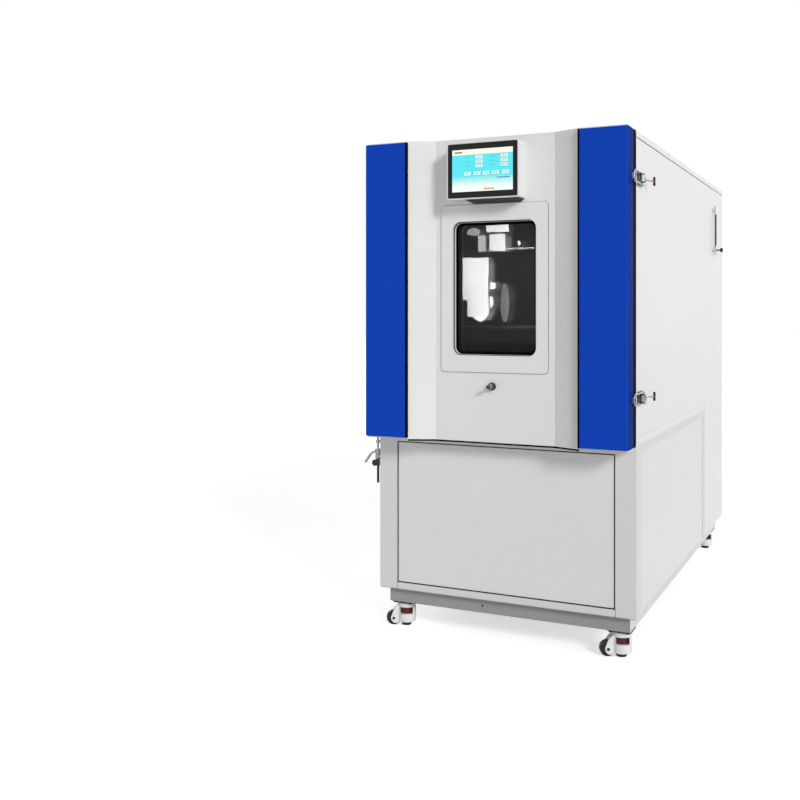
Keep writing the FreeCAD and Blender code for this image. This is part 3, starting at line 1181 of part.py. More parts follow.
def caster_pieces():
    """One caster about its swivel axis, trailing toward +X before it is turned."""
    top = PLINTH_Z - CASTER_PLATE_T - SWIVEL_COLLAR_H - SWIVEL_GAP
    body = Part.makeCylinder(HOUSING_R, top - HOUSING_Z0, V(0, 0, HOUSING_Z0))
    rims = [e for e in body.Edges if isinstance(e.Curve, Part.Circle)]
    body = body.makeFillet(HOUSING_EDGE_R, rims)
    slot_half = WHEEL_W / 2 + WHEEL_SIDE_GAP
    fork_half = slot_half + FORK_T
    end_x = TRAIL - FORK_END_BACK
    side_view = [
        V(0, -fork_half, WHEEL_Z), V(end_x + FORK_END_R, -fork_half, WHEEL_Z),
        V(end_x + FORK_END_R / 2, -fork_half, WHEEL_Z + FORK_KNEE), V(end_x, -fork_half, WHEEL_Z + FORK_BROW),
        V(HOUSING_R - HOUSING_EDGE_R, -fork_half, top - FORK_TOP_DROP), V(0, -fork_half, top - FORK_TOP_DROP),
    ]
    fork = Part.Face(Part.makePolygon(side_view + [side_view[0]])).extrude(V(0, 2 * fork_half, 0))
    fork_end = Part.makeCylinder(FORK_END_R, 2 * fork_half, V(end_x, -fork_half, WHEEL_Z), V(0, 1, 0))
    slot = Part.makeCylinder(WHEEL_R + WHEEL_SLOT_GAP, 2 * slot_half, V(TRAIL, -slot_half, WHEEL_Z), V(0, 1, 0))
    room_z0 = DIAL_Z0 - DIAL_GAP
    room_z1 = DIAL_Z0 + DIAL_H + DIAL_GAP
    dial_room = Part.makeCylinder(DIAL_R + DIAL_GAP, room_z1 - room_z0, V(0, 0, room_z0))
    half = DIAL_OPENING / 2
    reach = HOUSING_R + 1
    opening = block(-half, half, -reach, reach, room_z0, room_z1)
    pad_top = PAD_H + PAD_LIFT + PAD_ROOM_GAP
    pad_room = Part.makeCylinder(PAD_R + PAD_ROOM_GAP, pad_top, V(0, 0, 0))
    neck_room = Part.makeCylinder(PAD_NECK_R + PAD_ROOM_GAP, pad_top + PAD_NECK_H, V(0, 0, 0))
    bore = Part.makeCylinder(STEM_R + FIT, top, V(0, 0, 0))
    housing = cut(fuse([body, fork, fork_end]), [slot, dial_room, opening, pad_room, neck_room, bore])
    axle = Part.makeCylinder(WHEEL_BORE_R - FIT, 2 * fork_half, V(TRAIL, -fork_half, WHEEL_Z), V(0, 1, 0))
    heads = [Part.makeCylinder(AXLE_HEAD_R, AXLE_HEAD_T, V(TRAIL, y, WHEEL_Z), V(0, 1, 0))
             for y in (-fork_half - AXLE_HEAD_T, fork_half)]
    housing = fuse([housing, axle] + heads)

    w = WHEEL_W / 2
    dish_w = w - WHEEL_DISH
    hub_r, dish_r0, dish_r1, rim_r = WHEEL_R * 0.5, WHEEL_R * 0.56, WHEEL_R * 0.78, WHEEL_R * 0.82
    half_profile = [
        (WHEEL_BORE_R, w), (hub_r, w), (dish_r0, dish_w), (dish_r1, dish_w), (rim_r, w),
        (WHEEL_R - WHEEL_EDGE, w), (WHEEL_R, w - WHEEL_EDGE),
    ]
    profile = [V(r, 0, -z) for r, z in half_profile] + [V(r, 0, z) for r, z in reversed(half_profile)]
    wheel = Part.Face(Part.makePolygon(profile + [profile[0]])).revolve(V(0, 0, 0), V(0, 0, 1), 360)
    wheel.rotate(V(0, 0, 0), V(1, 0, 0), -90)
    wheel.translate(V(TRAIL, 0, WHEEL_Z))

    dial = Part.makeCylinder(DIAL_R, DIAL_H, V(0, 0, DIAL_Z0))
    cutters = [Part.makeCylinder(STEM_R + FIT, DIAL_H + 2, V(0, 0, DIAL_Z0 - 1))]
    ring = DIAL_R + DIAL_NOTCH_OUT
    for i in range(DIAL_NOTCHES):
        a = 2 * math.pi * i / DIAL_NOTCHES
        start = V(ring * math.cos(a), ring * math.sin(a), DIAL_Z0 - 1)
        cutters.append(Part.makeCylinder(DIAL_NOTCH_R, DIAL_H + 2, start))
    dial = dial.cut(Part.Compound(cutters))

    shoulder = PAD_R * 0.6
    neck_z = PAD_H + PAD_NECK_H
    pad_profile = [
        V(0, 0, 0), V(PAD_R - PAD_EDGE, 0, 0), V(PAD_R, 0, PAD_EDGE), V(PAD_R, 0, PAD_H * 0.6),
        V(shoulder, 0, PAD_H), V(PAD_NECK_R, 0, PAD_H), V(PAD_NECK_R, 0, neck_z),
        V(STEM_R, 0, neck_z), V(STEM_R, 0, STEM_TOP_Z), V(0, 0, STEM_TOP_Z),
    ]
    foot = Part.Face(Part.makePolygon(pad_profile + [pad_profile[0]])).revolve(V(0, 0, 0), V(0, 0, 1), 360)
    return {"caster_housing": housing, "caster_wheel": wheel, "caster_dial": dial, "caster_foot": foot}


def build_casters():
    save("caster_plates", *[caster_plate(x, y) for _, x, y in CASTER_SPOTS])
    pieces = caster_pieces()
    for spot, x, y in CASTER_SPOTS:
        for kind, shape in pieces.items():
            copy = shape.copy()
            copy.rotate(V(0, 0, 0), V(0, 0, 1), TRAIL_ANGLE)
            copy.translate(V(x, y, 0))
            save(kind + "_" + spot, copy)


build_frame()
build_panels()
build_rear_panel()
build_top_cover()
build_insulation()
build_liner()
build_shelf()
build_baffle()
build_fan()
build_coils()
build_machines()
build_port()
build_door_shell()
build_door_inside()
build_window()
build_touch()
build_lock()
build_hinges()
build_latches()
build_drain()
build_gauge()
build_casters()

os.makedirs("parts", exist_ok=True)
for name, shape in nodes.items():
    placed = shape.copy()
    placed.translate(V(MOVE_X, MOVE_Y, 0))
    placed.exportStep("parts/" + name + ".step")
whole = Part.Compound(list(nodes.values()))
print(len(nodes), "nodes, box", whole.BoundBox, "moved by", MOVE_X, MOVE_Y)
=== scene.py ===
# %% [markdown]
# # A climate chamber on levelling casters
# A climate chamber is an insulated steel cabinet that keeps its test space hot, cold, dry or damp.
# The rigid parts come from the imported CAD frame. This file gives them their finishes and adds
# the small things that sheet-metal drawings leave out: rubber edges, screws, grips and the display.
# All lengths below are in millimetres, measured from the front plane of the cabinet (Y),
# from its middle (X) and from the floor (Z), because that is how a fitter would measure them.

import math

import bpy
from mathutils import Matrix, Vector


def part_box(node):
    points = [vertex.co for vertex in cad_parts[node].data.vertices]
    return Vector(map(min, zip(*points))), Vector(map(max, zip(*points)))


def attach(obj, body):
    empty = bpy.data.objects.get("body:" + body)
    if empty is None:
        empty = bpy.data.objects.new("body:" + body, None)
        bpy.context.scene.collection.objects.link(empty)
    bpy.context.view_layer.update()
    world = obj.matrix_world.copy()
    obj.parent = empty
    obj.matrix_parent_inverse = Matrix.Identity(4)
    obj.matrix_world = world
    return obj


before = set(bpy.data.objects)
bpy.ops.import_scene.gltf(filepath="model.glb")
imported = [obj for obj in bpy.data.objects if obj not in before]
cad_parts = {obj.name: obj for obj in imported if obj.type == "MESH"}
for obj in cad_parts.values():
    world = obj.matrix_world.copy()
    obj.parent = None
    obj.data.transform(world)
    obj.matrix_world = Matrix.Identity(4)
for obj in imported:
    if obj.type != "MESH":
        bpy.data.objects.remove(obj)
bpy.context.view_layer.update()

MM = 0.001
cover_low, cover_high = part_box("top_cover")
MIDDLE_X = (cover_low.x + cover_high.x) / 2
FRONT_Y = cover_low.y


def at(x, y, z):
    """A point in cabinet millimetres, as metres in the frame."""
    return Vector((MIDDLE_X + x * MM, FRONT_Y + y * MM, z * MM))


# %% [markdown]
# ## The camera
# The photograph looks at the front and the right side from about eye level of a crouching person.
# The lens was found by fitting the straight edges of the cabinet. The camera is level, and the
# picture is shifted instead of tilted, so that the uprights stay upright.

# %% The camera
CAMERA_SPOT = (1131.9, -3106.3, 1088.3)
CAMERA_TURN = 0.4485
PICTURE = 800
HORIZON_ROW = 310.1
FOCAL_PIXELS = 1015.1
SENSOR_MM = 36.0
VIEW_LIMIT_M = 200.0

camera_data = bpy.data.cameras.new("camera")
camera_data.sensor_width = SENSOR_MM
camera_data.lens = SENSOR_MM * FOCAL_PIXELS / PICTURE
camera_data.shift_y = (HORIZON_ROW - PICTURE / 2) / PICTURE
camera_data.clip_end = VIEW_LIMIT_M
camera = bpy.data.objects.new("camera", camera_data)
camera.location = at(*CAMERA_SPOT)
camera.rotation_euler = (math.pi / 2, 0.0, CAMERA_TURN)
bpy.context.scene.collection.objects.link(camera)
bpy.context.scene.camera = camera
bpy.context.scene.view_settings.view_transform = "Standard"
print("camera lens", round(camera_data.lens, 2), "mm")

# %% [markdown]
# ## Colours and nodes
# Paint shops name colours by the values that a screen shows, so colours are written as hex numbers
# and turned to linear light by one function. A second function adds a shader node with its
# settings and links, because every finish below is a small net of the same kinds of node.


# %% Colours and nodes
def linear(hex_colour):
    """sRGB hex number to linear RGBA."""
    channels = [int(hex_colour[i:i + 2], 16) / 255 for i in (1, 3, 5)]
    return tuple(c / 12.92 if c <= 0.04045 else ((c + 0.055) / 1.055) ** 2.4 for c in channels) + (1.0,)


def shaded(colour, factor):
    """The same linear colour, lighter or darker."""
    return tuple(min(c * factor, 1.0) for c in colour[:3]) + (1.0,)


def add(tree, kind, inputs=None, **settings):
    """One shader node, with its settings, values and links."""
    node = tree.nodes.new(kind)
    for name, value in settings.items():
        setattr(node, name, value)
    for socket, value in (inputs or {}).items():
        if isinstance(value, bpy.types.NodeSocket):
            tree.links.new(value, node.inputs[socket])
        else:
            node.inputs[socket].default_value = value
    return node


def maths(tree, operation, *values):
    """The result of one sum on numbers or sockets."""
    return add(tree, "ShaderNodeMath", dict(enumerate(values)), operation=operation).outputs[0]


def new_finish(name, **sockets):
    """An empty material with its shader; constant values are set on the shader's own sockets."""
    material = bpy.data.materials.new(name)
    material.use_nodes = True
    tree = material.node_tree
    tree.nodes.clear()
    shader = add(tree, "ShaderNodeBsdfPrincipled", {k.replace("_", " "): v for k, v in sockets.items()})
    add(tree, "ShaderNodeOutputMaterial", {"Surface": shader.outputs[0]})
    return material, tree, shader


def grain(tree, size_mm, stretch=(1, 1, 1), detail=2.0, rough=0.5):
    """Noise whose lumps are size_mm across; stretch makes them longer along an axis."""
    place = add(tree, "ShaderNodeTexCoord").outputs["Object"]
    scale = tuple(1.0 / s for s in stretch)
    stretched = add(tree, "ShaderNodeMapping", {"Vector": place, "Scale": scale}).outputs[0]
    noise = add(tree, "ShaderNodeTexNoise", {"Vector": stretched, "Scale": 1.0 / (size_mm * MM),
                                             "Detail": detail, "Roughness": rough})
    return noise.outputs[0]


def between(tree, factor, low, high, start=0.3, end=0.7):
    """Maps a noise, which stays mostly between start and end, to a range of values."""
    ranged = add(tree, "ShaderNodeMapRange", {"Value": factor, "From Min": start, "From Max": end,
                                              "To Min": low, "To Max": high})
    return ranged.outputs[0]


def mixed(tree, factor, first, second):
    """Two colours mixed by a factor."""
    mix = add(tree, "ShaderNodeMix", {0: factor, 6: first, 7: second}, data_type="RGBA", blend_type="MIX")
    return mix.outputs[2]


def link(tree, shader, **sockets):
    """Links to the shader's sockets, with _ for the blanks in their names."""
    for name, value in sockets.items():
        tree.links.new(value, shader.inputs[name.replace("_", " ")])


print("helpers ready")

# %% [markdown]
# ## Powder-coated steel
# Most of what the eye meets is steel sheet, 1.5 to 2 mm thick, folded and then powder coated.
# The powder melts in an oven at about 190 degrees and flows out with a fine orange peel, lumps
# of 1 to 3 mm. Peel that small is lost at this distance, so it is drawn at 3 mm, with a second, softer
# cloudiness of 180 mm for the uneven film. Folded edges are round, about 1 mm, and catch the light.

# %% Powder-coated steel
PEEL_MM = 3.0
SPECKLE_MM = 7.0
CLOUD_MM = 180.0
FOLD_RADIUS_MM = 1.2


def powder_coat(name, hex_colour, roughness=0.42, uneven=0.025, gloss_level=0.5, painted_shade=None):
    """The optional last pair is a mask and a colour of painted shade: where the mask is 1, the paint takes that
    darker colour, standing in for shade.
    """
    material, tree, shader = new_finish(name, IOR=1.5, Specular_IOR_Level=gloss_level)
    paint = linear(hex_colour)
    speckle = grain(tree, SPECKLE_MM, detail=3.0)
    clouds = grain(tree, CLOUD_MM, detail=2.0)
    fine = mixed(tree, between(tree, speckle, 0, 1), shaded(paint, 1 - uneven), shaded(paint, 1 + uneven))
    colour = mixed(tree, between(tree, clouds, 0, 0.5), fine, shaded(paint, 1 - uneven * 1.5))
    # painted shade, where a mask is given: a darker colour mixed into the paint
    if painted_shade:
        mask, shade_hex = painted_shade
        colour = mixed(tree, mask(tree), colour, linear(shade_hex))
    peel = grain(tree, PEEL_MM, detail=1.0)
    edge = add(tree, "ShaderNodeBevel", {"Radius": FOLD_RADIUS_MM * MM}, samples=4)
    bump = add(tree, "ShaderNodeBump", {"Height": peel, "Strength": 0.10, "Distance": 0.15 * MM,
                                        "Normal": edge.outputs[0]})
    link(tree, shader, Base_Color=colour, Normal=bump.outputs[0],
         Roughness=between(tree, speckle, roughness - 0.04, roughness + 0.05))
    return material


def side_face_shade(tree):
    """1 on the faces that look left or right, 0 elsewhere: the mask of the painted shade on the sides of the
    blue columns.
    """
    facing_of = add(tree, "ShaderNodeTexCoord").outputs["Normal"]
    across = add(tree, "ShaderNodeSeparateXYZ", {0: facing_of}).outputs["X"]
    return between(tree, maths(tree, "ABSOLUTE", across), 0, 1, 0.8, 0.95)


def plinth_front_shade(tree):
    """1 on the front of the plinth channel, near the floor: the mask of a painted shade that darkens it."""
    spot = add(tree, "ShaderNodeTexCoord").outputs
    forward = add(tree, "ShaderNodeSeparateXYZ", {0: spot["Normal"]}).outputs["Y"]
    up = add(tree, "ShaderNodeSeparateXYZ", {0: spot["Object"]}).outputs["Z"]
    faces_front = between(tree, forward, 1, 0, -0.9, -0.6)
    low = between(tree, up, 0.85, 0, PLINTH_TOP_MM * MM, (PLINTH_TOP_MM + 2.0) * MM)
    return maths(tree, "MULTIPLY", faces_front, low)


PLINTH_TOP_MM = 140.0
light_grey_coat = powder_coat("powder_coat_light_grey", "#E9E9E8")
panel_grey_coat = powder_coat("powder_coat_panel_grey", "#E4E4E3")
# painted shade: the front of the plinth channel is drawn mid grey, for the shade it lies in near the floor
frame_grey_coat = powder_coat("powder_coat_frame_grey", "#DCDCDB", painted_shade=(plinth_front_shade, "#888988"))
# painted shade: the sides of the blue columns are drawn dark navy, for the shade they lie in
blue_coat = powder_coat("powder_coat_blue", "#1747C0", roughness=0.4, uneven=0.02, gloss_level=0.006,
                        painted_shade=(side_face_shade, "#0A2C80"))
box_grey_coat = powder_coat("powder_coat_box_grey", "#B9BAB6", roughness=0.5)
print("powder coats:", light_grey_coat.name, frame_grey_coat.name, blue_coat.name)

# %% [markdown]
# ## Stainless steel, brushed and ground
# The test space is lined with stainless sheet, ground with a belt of about 240 grit. The scratches
# are 0.05 mm wide and tens of millimetres long. They are drawn 1.2 mm wide here, or they would not
# show, and they stretch the highlights across the grain. Rods and wires are electropolished.

# %% Stainless steel
SCRATCH_MM = 1.2


def brushed(name, hex_colour, along, roughness=0.3, spread=0.12):
    """along is the axis of the grain: 0, 1 or 2."""
    material, tree, shader = new_finish(name, Metallic=1.0, Anisotropic=0.45)
    stretch = [1, 1, 1]
    stretch[along] = 45
    scratches = grain(tree, SCRATCH_MM, stretch=stretch, detail=3.0, rough=0.6)
    blotches = grain(tree, 120.0)
    steel = linear(hex_colour)
    colour = mixed(tree, between(tree, scratches, 0, 1), shaded(steel, 0.9), shaded(steel, 1.06))
    colour = mixed(tree, between(tree, blotches, 0, 0.35), colour, shaded(steel, 0.82))
    bump = add(tree, "ShaderNodeBump", {"Height": scratches, "Strength": 0.12, "Distance": 0.1 * MM})
    link(tree, shader, Base_Color=colour, Normal=bump.outputs[0],
         Roughness=between(tree, scratches, roughness - spread / 2, roughness + spread))
    return material


lining_steel = brushed("stainless_ground_lining", "#B9B8B5", along=2)
plate_steel = brushed("stainless_ground_plate", "#C2C1BE", along=0, roughness=0.26)
wire_steel = brushed("stainless_polished_wire", "#D2D1CE", along=1, roughness=0.16, spread=0.08)
zinc_steel = brushed("zinc_plated_steel", "#A9ABAE", along=2, roughness=0.36)
fin_aluminium = brushed("rolled_aluminium_fins", "#C9CACB", along=1, roughness=0.3)
print("steels:", lining_steel.name, plate_steel.name, wire_steel.name, zinc_steel.name)

# %% [markdown]
# ## Chromed and cast fittings
# Latches, lock and taps are zinc castings or brass, plated with nickel and then bright chrome. Chrome is
# nearly a mirror, slightly blue, and shows every casting wave. Those waves are a few
# millimetres wide. The caster housings are die-cast aluminium with a thin off-white enamel.


# %% Chromed and cast fittings
def plated(name, hex_colour, roughness, wave_mm=9.0):
    """Bright metal over a casting whose surface has waves wave_mm across."""
    material, tree, shader = new_finish(name, Metallic=1.0)
    waves = grain(tree, wave_mm, detail=2.0)
    handling = grain(tree, 2.2, detail=3.0)
    chrome = linear(hex_colour)
    colour = mixed(tree, between(tree, handling, 0, 1), shaded(chrome, 0.92), shaded(chrome, 1.04))
    edge = add(tree, "ShaderNodeBevel", {"Radius": 0.5 * MM}, samples=4)
    bump = add(tree, "ShaderNodeBump", {"Height": waves, "Strength": 0.15, "Distance": 0.25 * MM,
                                        "Normal": edge.outputs[0]})
    link(tree, shader, Base_Color=colour, Normal=bump.outputs[0],
         Roughness=between(tree, handling, roughness * 0.7, roughness * 1.6))
    return material


bright_chrome = plated("chrome_plated_zinc", "#B9BEC4", roughness=0.07)
satin_nickel = plated("nickel_plated_brass", "#C9C8C3", roughness=0.2, wave_mm=6.0)
dark_nickel = plated("nickel_plated_dark_lock_collar", "#4C4D50", roughness=0.3, wave_mm=12.0)
burnt_steel = plated("steel_blackened_latch_plate", "#4A4B4E", roughness=0.22, wave_mm=4.0)
caster_enamel = powder_coat("enamelled_die_cast_aluminium", "#E4E8E5", roughness=0.38, uneven=0.03)
black_oxide = plated("black_oxide_steel", "#34343A", roughness=0.38, wave_mm=5.0)
print("plated:", bright_chrome.name, satin_nickel.name, black_oxide.name)

# %% [markdown]
# ## Plastics and rubber
# The grips are dark red acetal, the thumb wheels of the casters red nylon, the wheels black nylon,
# the frame of the display black ABS. Injection moulding copies the tool: spark-eroded steel leaves
# a fine matt grain of about 0.3 mm, drawn here at 0.8 mm. Rubber is duller and picks up pale dust.


# %% Plastics and rubber
def moulded(name, hex_colour, roughness, grain_mm=0.8, depth=0.06, dust=0.0, sheen=0.0, gloss_level=0.5):
    """Plastic or rubber with the grain of its mould; depth is the grain's, in mm."""
    material, tree, shader = new_finish(name, IOR=1.5, Specular_IOR_Level=gloss_level, Sheen_Weight=sheen,
                                        Sheen_Roughness=0.5)
    plastic = linear(hex_colour)
    erosion = grain(tree, grain_mm, detail=2.0)
    flow = grain(tree, 22.0, detail=2.0)
    colour = mixed(tree, between(tree, flow, 0, 1), shaded(plastic, 0.88), shaded(plastic, 1.1))
    if dust:
        colour = mixed(tree, between(tree, grain(tree, 5.0, detail=4.0), 0, dust, 0.5, 0.75), colour,
                       linear("#8D8B86"))
    bump = add(tree, "ShaderNodeBump", {"Height": erosion, "Strength": 0.25, "Distance": depth * MM})
    link(tree, shader, Base_Color=colour, Normal=bump.outputs[0],
         Roughness=between(tree, erosion, roughness - 0.06, roughness + 0.08))
    return material


black_abs = moulded("abs_moulded_black", "#232326", roughness=0.5, gloss_level=0.12)
red_acetal = moulded("acetal_moulded_dark_red", "#33040C", roughness=0.4, gloss_level=0.3)
red_nylon = moulded("nylon_moulded_red", "#5A0A10", roughness=0.4)
black_nylon = moulded("nylon_moulded_black", "#161618", roughness=0.4, dust=0.25)
black_lever = moulded("nylon_moulded_lever_black", "#121214", roughness=0.34)
foot_rubber = moulded("rubber_vulcanised_foot", "#1D1D1E", roughness=0.75, dust=0.35, sheen=0.15)
# seal rubber, also used as painted shade in the seams of the cabinet
seal_rubber_and_shade = moulded("silicone_rubber_seal_and_painted_shade", "#141519", roughness=0.62, gloss_level=0.2)
# black rubber, also used as painted shade at the edges of the door
edge_rubber_and_shade = moulded("epdm_rubber_edge_and_painted_shade", "#060608", roughness=0.75, gloss_level=0.02)
# grey ABS, used as painted shade under the display housing
cowl_abs_shade = moulded("abs_moulded_cowl_painted_shade", "#48484A", roughness=0.55, gloss_level=0.1)
tank_plastic = moulded("polythene_moulded_tank", "#DDE2E3", roughness=0.45)
machine_black = moulded("stove_enamel_black", "#131416", roughness=0.35, grain_mm=2.0)
print("plastics:", black_abs.name, red_acetal.name, black_nylon.name)

# %% [markdown]
# ## Foam and glass
# The walls are filled with rigid polyurethane foam, a cream plastic of closed bubbles 0.3 to 1 mm
# across. The window has two panes; the outer one has a dark, see-through heating film that keeps it
# free of frost and reflects like a weak mirror. A thin pane hardly bends light, so it is made as a
# dark shader with low alpha instead of solid glass, and the light still gets through to the inside.


# %% Foam and glass
def foamed(name, hex_colour, bubble_mm=2.0):
    """Foam with cut bubbles."""
    material, tree, shader = new_finish(name, Roughness=0.9)
    foam = linear(hex_colour)
    place = add(tree, "ShaderNodeTexCoord").outputs["Object"]
    bubbles = add(tree, "ShaderNodeTexVoronoi", {"Vector": place, "Scale": 1.0 / (bubble_mm * MM)})
    depth = between(tree, bubbles.outputs["Distance"], 0, 1, 0.0, 0.6)
    bump = add(tree, "ShaderNodeBump", {"Height": depth, "Strength": 0.5, "Distance": 0.4 * MM})
    link(tree, shader, Base_Color=mixed(tree, depth, shaded(foam, 0.8), foam), Normal=bump.outputs[0])
    return material


def pane(name, hex_colour, alpha, level, smear_mm=60.0):
    """A thin pane: alpha is what it holds back, level how strongly it mirrors."""
    material, tree, shader = new_finish(name, Specular_IOR_Level=level, Alpha=alpha)
    glass = linear(hex_colour)
    smears = grain(tree, smear_mm, stretch=(1, 1, 2.5), detail=4.0)
    link(tree, shader, Base_Color=mixed(tree, between(tree, smears, 0, 1), glass, shaded(glass, 1.8)),
         Roughness=between(tree, smears, 0.004, 0.02))
    return material


cream_foam = foamed("polyurethane_foam_cream", "#E6D9AE")
dark_glass = pane("glass_float_heated_dark", "#08090A", alpha=0.36, level=0.4)
clear_glass = pane("glass_tube_clear", "#3A4042", alpha=0.72, level=0.6, smear_mm=12.0)
print("panes:", dark_glass.name, clear_glass.name)

# %% [markdown]
# ## The lamp inside
# A round opal dish under the ceiling lights the test space. Opal glass scatters, so the dish looks
# evenly white when lit. Here it is off, because the inside is nearly dark in the photograph.

# %% The lamp inside
opal_glass = moulded("glass_pressed_opal", "#E8E8E2", roughness=0.2, grain_mm=6.0, depth=0.1)

# %% [markdown]
# ## The display
# A 10-inch colour display shows measured and set values in pale boxes on a cyan page, with a cream
# header and a page that fades to white at its foot. The page is drawn by rectangles in millimetres of
# the screen, each one a mask: a point lies inside when its distance from the middle is less than half
# the size on both axes. No words are drawn, only bars where words would be; numbers come later.

# %% The display
screen_low, screen_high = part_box("touch_screen")
SCREEN_W = (screen_high.x - screen_low.x) / MM
SCREEN_H = (screen_high.z - screen_low.z) / MM
BOX_COLUMNS = (91.0, 174.5)
BOX_ROWS = (107.5, 94.0, 80.0)
BOX_SIZE = (25.0, 11.0)
LOWER_BOXES = (52.0, 84.0, 115.0, 145.5, 178.5)
LOWER_BOX_ROW = 56.5
LOWER_BOX_SIZE = (25.0, 11.5)
BOX_SHADOW = 2.0
HEADER_H = 17.0
FADE_LOW, FADE_HIGH = 14.0, 50.0
# how far left of a box's middle, width, height
LABEL_BAR = (38.0, 18.0, 2.6)
BOX_MARK = (15.8, 2.2, 3.4)
# bars where words would be: how many, first middle, pitch, height on the screen, width, height, colour
WORD_ROWS = (
    (7, 18.0, 7.2, 38.6, 5.4, 4.2, "#B9EE9E"),
    (6, 88.0, 7.2, 38.8, 5.4, 4.2, "#B9EE9E"),
    (8, 152.0, 5.6, 40.4, 4.2, 3.6, "#38508C"),
    (5, 110.0, 7.0, 7.2, 5.4, 4.4, "#C8504C"),
)


def boxed(x_mid, z_mid, size, shadow_hex, face_hex):
    """A value box over its shadow, which is larger and lies a little lower."""
    width, height = size
    return [(x_mid, z_mid - BOX_SHADOW / 2, width + BOX_SHADOW, height + BOX_SHADOW, shadow_hex),
            (x_mid, z_mid, width, height, face_hex)]


def left_of(x_mid, z_mid, bar, hex_colour):
    """A bar beside a box."""
    offset, width, height = bar
    return x_mid - offset, z_mid, width, height, hex_colour


def display_page(name):
    """The lit page, and the number of its rectangles."""
    material, tree, shader = new_finish(name, Base_Color=(0.0, 0.0, 0.0, 1.0), Roughness=0.12,
                                        Emission_Strength=1.0)
    place = add(tree, "ShaderNodeTexCoord").outputs["Object"]
    origin = Vector((screen_low.x, 0.0, screen_low.z))
    moved = add(tree, "ShaderNodeVectorMath", {0: place, 1: origin}, operation="SUBTRACT").outputs[0]
    page = add(tree, "ShaderNodeVectorMath", {0: moved, "Scale": 1.0 / MM}, operation="SCALE").outputs[0]
    across, _, up = add(tree, "ShaderNodeSeparateXYZ", {0: page}).outputs

    def inside(x_mid, z_mid, width, height):
        x_in = maths(tree, "COMPARE", maths(tree, "SUBTRACT", across, x_mid), 0.0, width / 2)
        z_in = maths(tree, "COMPARE", maths(tree, "SUBTRACT", up, z_mid), 0.0, height / 2)
        return maths(tree, "MULTIPLY", x_in, z_in)

    fade = between(tree, up, 1, 0, FADE_LOW, FADE_HIGH)
    colour = mixed(tree, fade, linear("#52E6F4"), linear("#F4FCF4"))
    layers = [(SCREEN_W / 2, SCREEN_H - HEADER_H / 2, SCREEN_W, HEADER_H, "#FBFBE6"),
              (20.5, SCREEN_H - 8.6, 26.0, 4.5, "#8E5A52"),
              (SCREEN_W / 2, SCREEN_H - HEADER_H - 0.5, SCREEN_W, 1.2, "#3FC4D2")]
    for x_mid in BOX_COLUMNS:
        for z_mid in BOX_ROWS:
            layers += boxed(x_mid, z_mid, BOX_SIZE, "#39B4C4", "#D6FBFA")
            layers.append(left_of(x_mid, z_mid, LABEL_BAR, "#48CAD9"))
    for x_mid in LOWER_BOXES:
        layers += boxed(x_mid, LOWER_BOX_ROW, LOWER_BOX_SIZE, "#58C2CF", "#C8F8F6")
    layers += [left_of(x_mid, LOWER_BOX_ROW, BOX_MARK, "#1E3A44") for x_mid in LOWER_BOXES[1:]]
    for count, first, pitch, z_mid, width, height, hex_colour in WORD_ROWS:
        layers += [(first + i * pitch, z_mid, width, height, hex_colour) for i in range(count)]
    for x_mid, z_mid, width, height, hex_colour in layers:
        colour = mixed(tree, inside(x_mid, z_mid, width, height), colour, linear(hex_colour))
    link(tree, shader, Emission_Color=colour)
    return material, len(layers)


display_face, layer_count = display_page("display_page_lit")
print("display page of", layer_count, "rectangles on", round(SCREEN_W), "x", round(SCREEN_H), "mm")

# %% [markdown]
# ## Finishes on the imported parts
# Each rigid part keeps its CAD shape and gets its finish here. The table goes from finish to parts, so
# that a part without a finish is noticed at once.

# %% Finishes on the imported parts
CORNERS = ("front_right", "front_left", "rear_right", "rear_left")
FINISHES = (
    (light_grey_coat, ["side_skins", "top_cover", "rear_panel", "door_front_skin", "touch_housing",
                       "window_frame"]),
    (panel_grey_coat, ["lower_panels"]),
    (frame_grey_coat, ["frame"]),
    (blue_coat, ["door_side_skins"]),
    (box_grey_coat, ["electrical_box"]),
    (lining_steel, ["inner_liner", "door_inner_pan"]),
    (plate_steel, ["air_baffle", "test_port", "humidifier", "fan_impeller"]),
    (wire_steel, ["shelf"]),
    (zinc_steel, ["hinge_cabinet_side", "hinge_door_side"]),
    (fin_aluminium, ["coils"]),
    (bright_chrome, ["lock_core", "latch_handle_upper", "latch_handle_lower", "latch_hook_upper",
                     "latch_hook_lower", "latch_keepers", "drain_valve"]),
    (burnt_steel, ["latch_bases"]),
    (dark_nickel, ["lock_body"]),
    (satin_nickel, ["level_gauge"]),
    (black_oxide, ["caster_plates"]),
    (machine_black, ["refrigeration_unit", "fan_motor"]),
    (tank_plastic, ["water_tank"]),
    (cream_foam, ["cabinet_insulation", "door_insulation"]),
    (seal_rubber_and_shade, ["door_gasket"]),
    (dark_glass, ["window_panes"]),
    (opal_glass, ["chamber_lamp"]),
    (black_abs, ["touch_bezel"]),
    (display_face, ["touch_screen"]),
    (black_lever, ["drain_lever", "gauge_cock"]),
    (caster_enamel, ["caster_housing_" + c for c in CORNERS]),
    (black_nylon, ["caster_wheel_" + c for c in CORNERS]),
    (red_nylon, ["caster_dial_" + c for c in CORNERS]),
    (foot_rubber, ["caster_foot_" + c for c in CORNERS]),
)
finished = set()
for finish, names in FINISHES:
    for name in names:
        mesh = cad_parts[name].data
        mesh.materials.clear()
        mesh.materials.append(finish)
        finished.add(name)
print("finished", len(finished), "parts; left over:", sorted(set(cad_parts) - finished))

# %% [markdown]
# ## Making small pieces
# Four ways of making a mesh cover all the trim. A lathe turns a profile about an axis: grips, screws
# and tubes. A swept ring carries a profile round a rectangle with round corners: rubber edges. An
# extrusion carries one outline straight up: bands and strips. And a stamp copies one small mesh to
# many places, as a fitter repeats one screw. Each piece then rides on the body that it is fixed to.


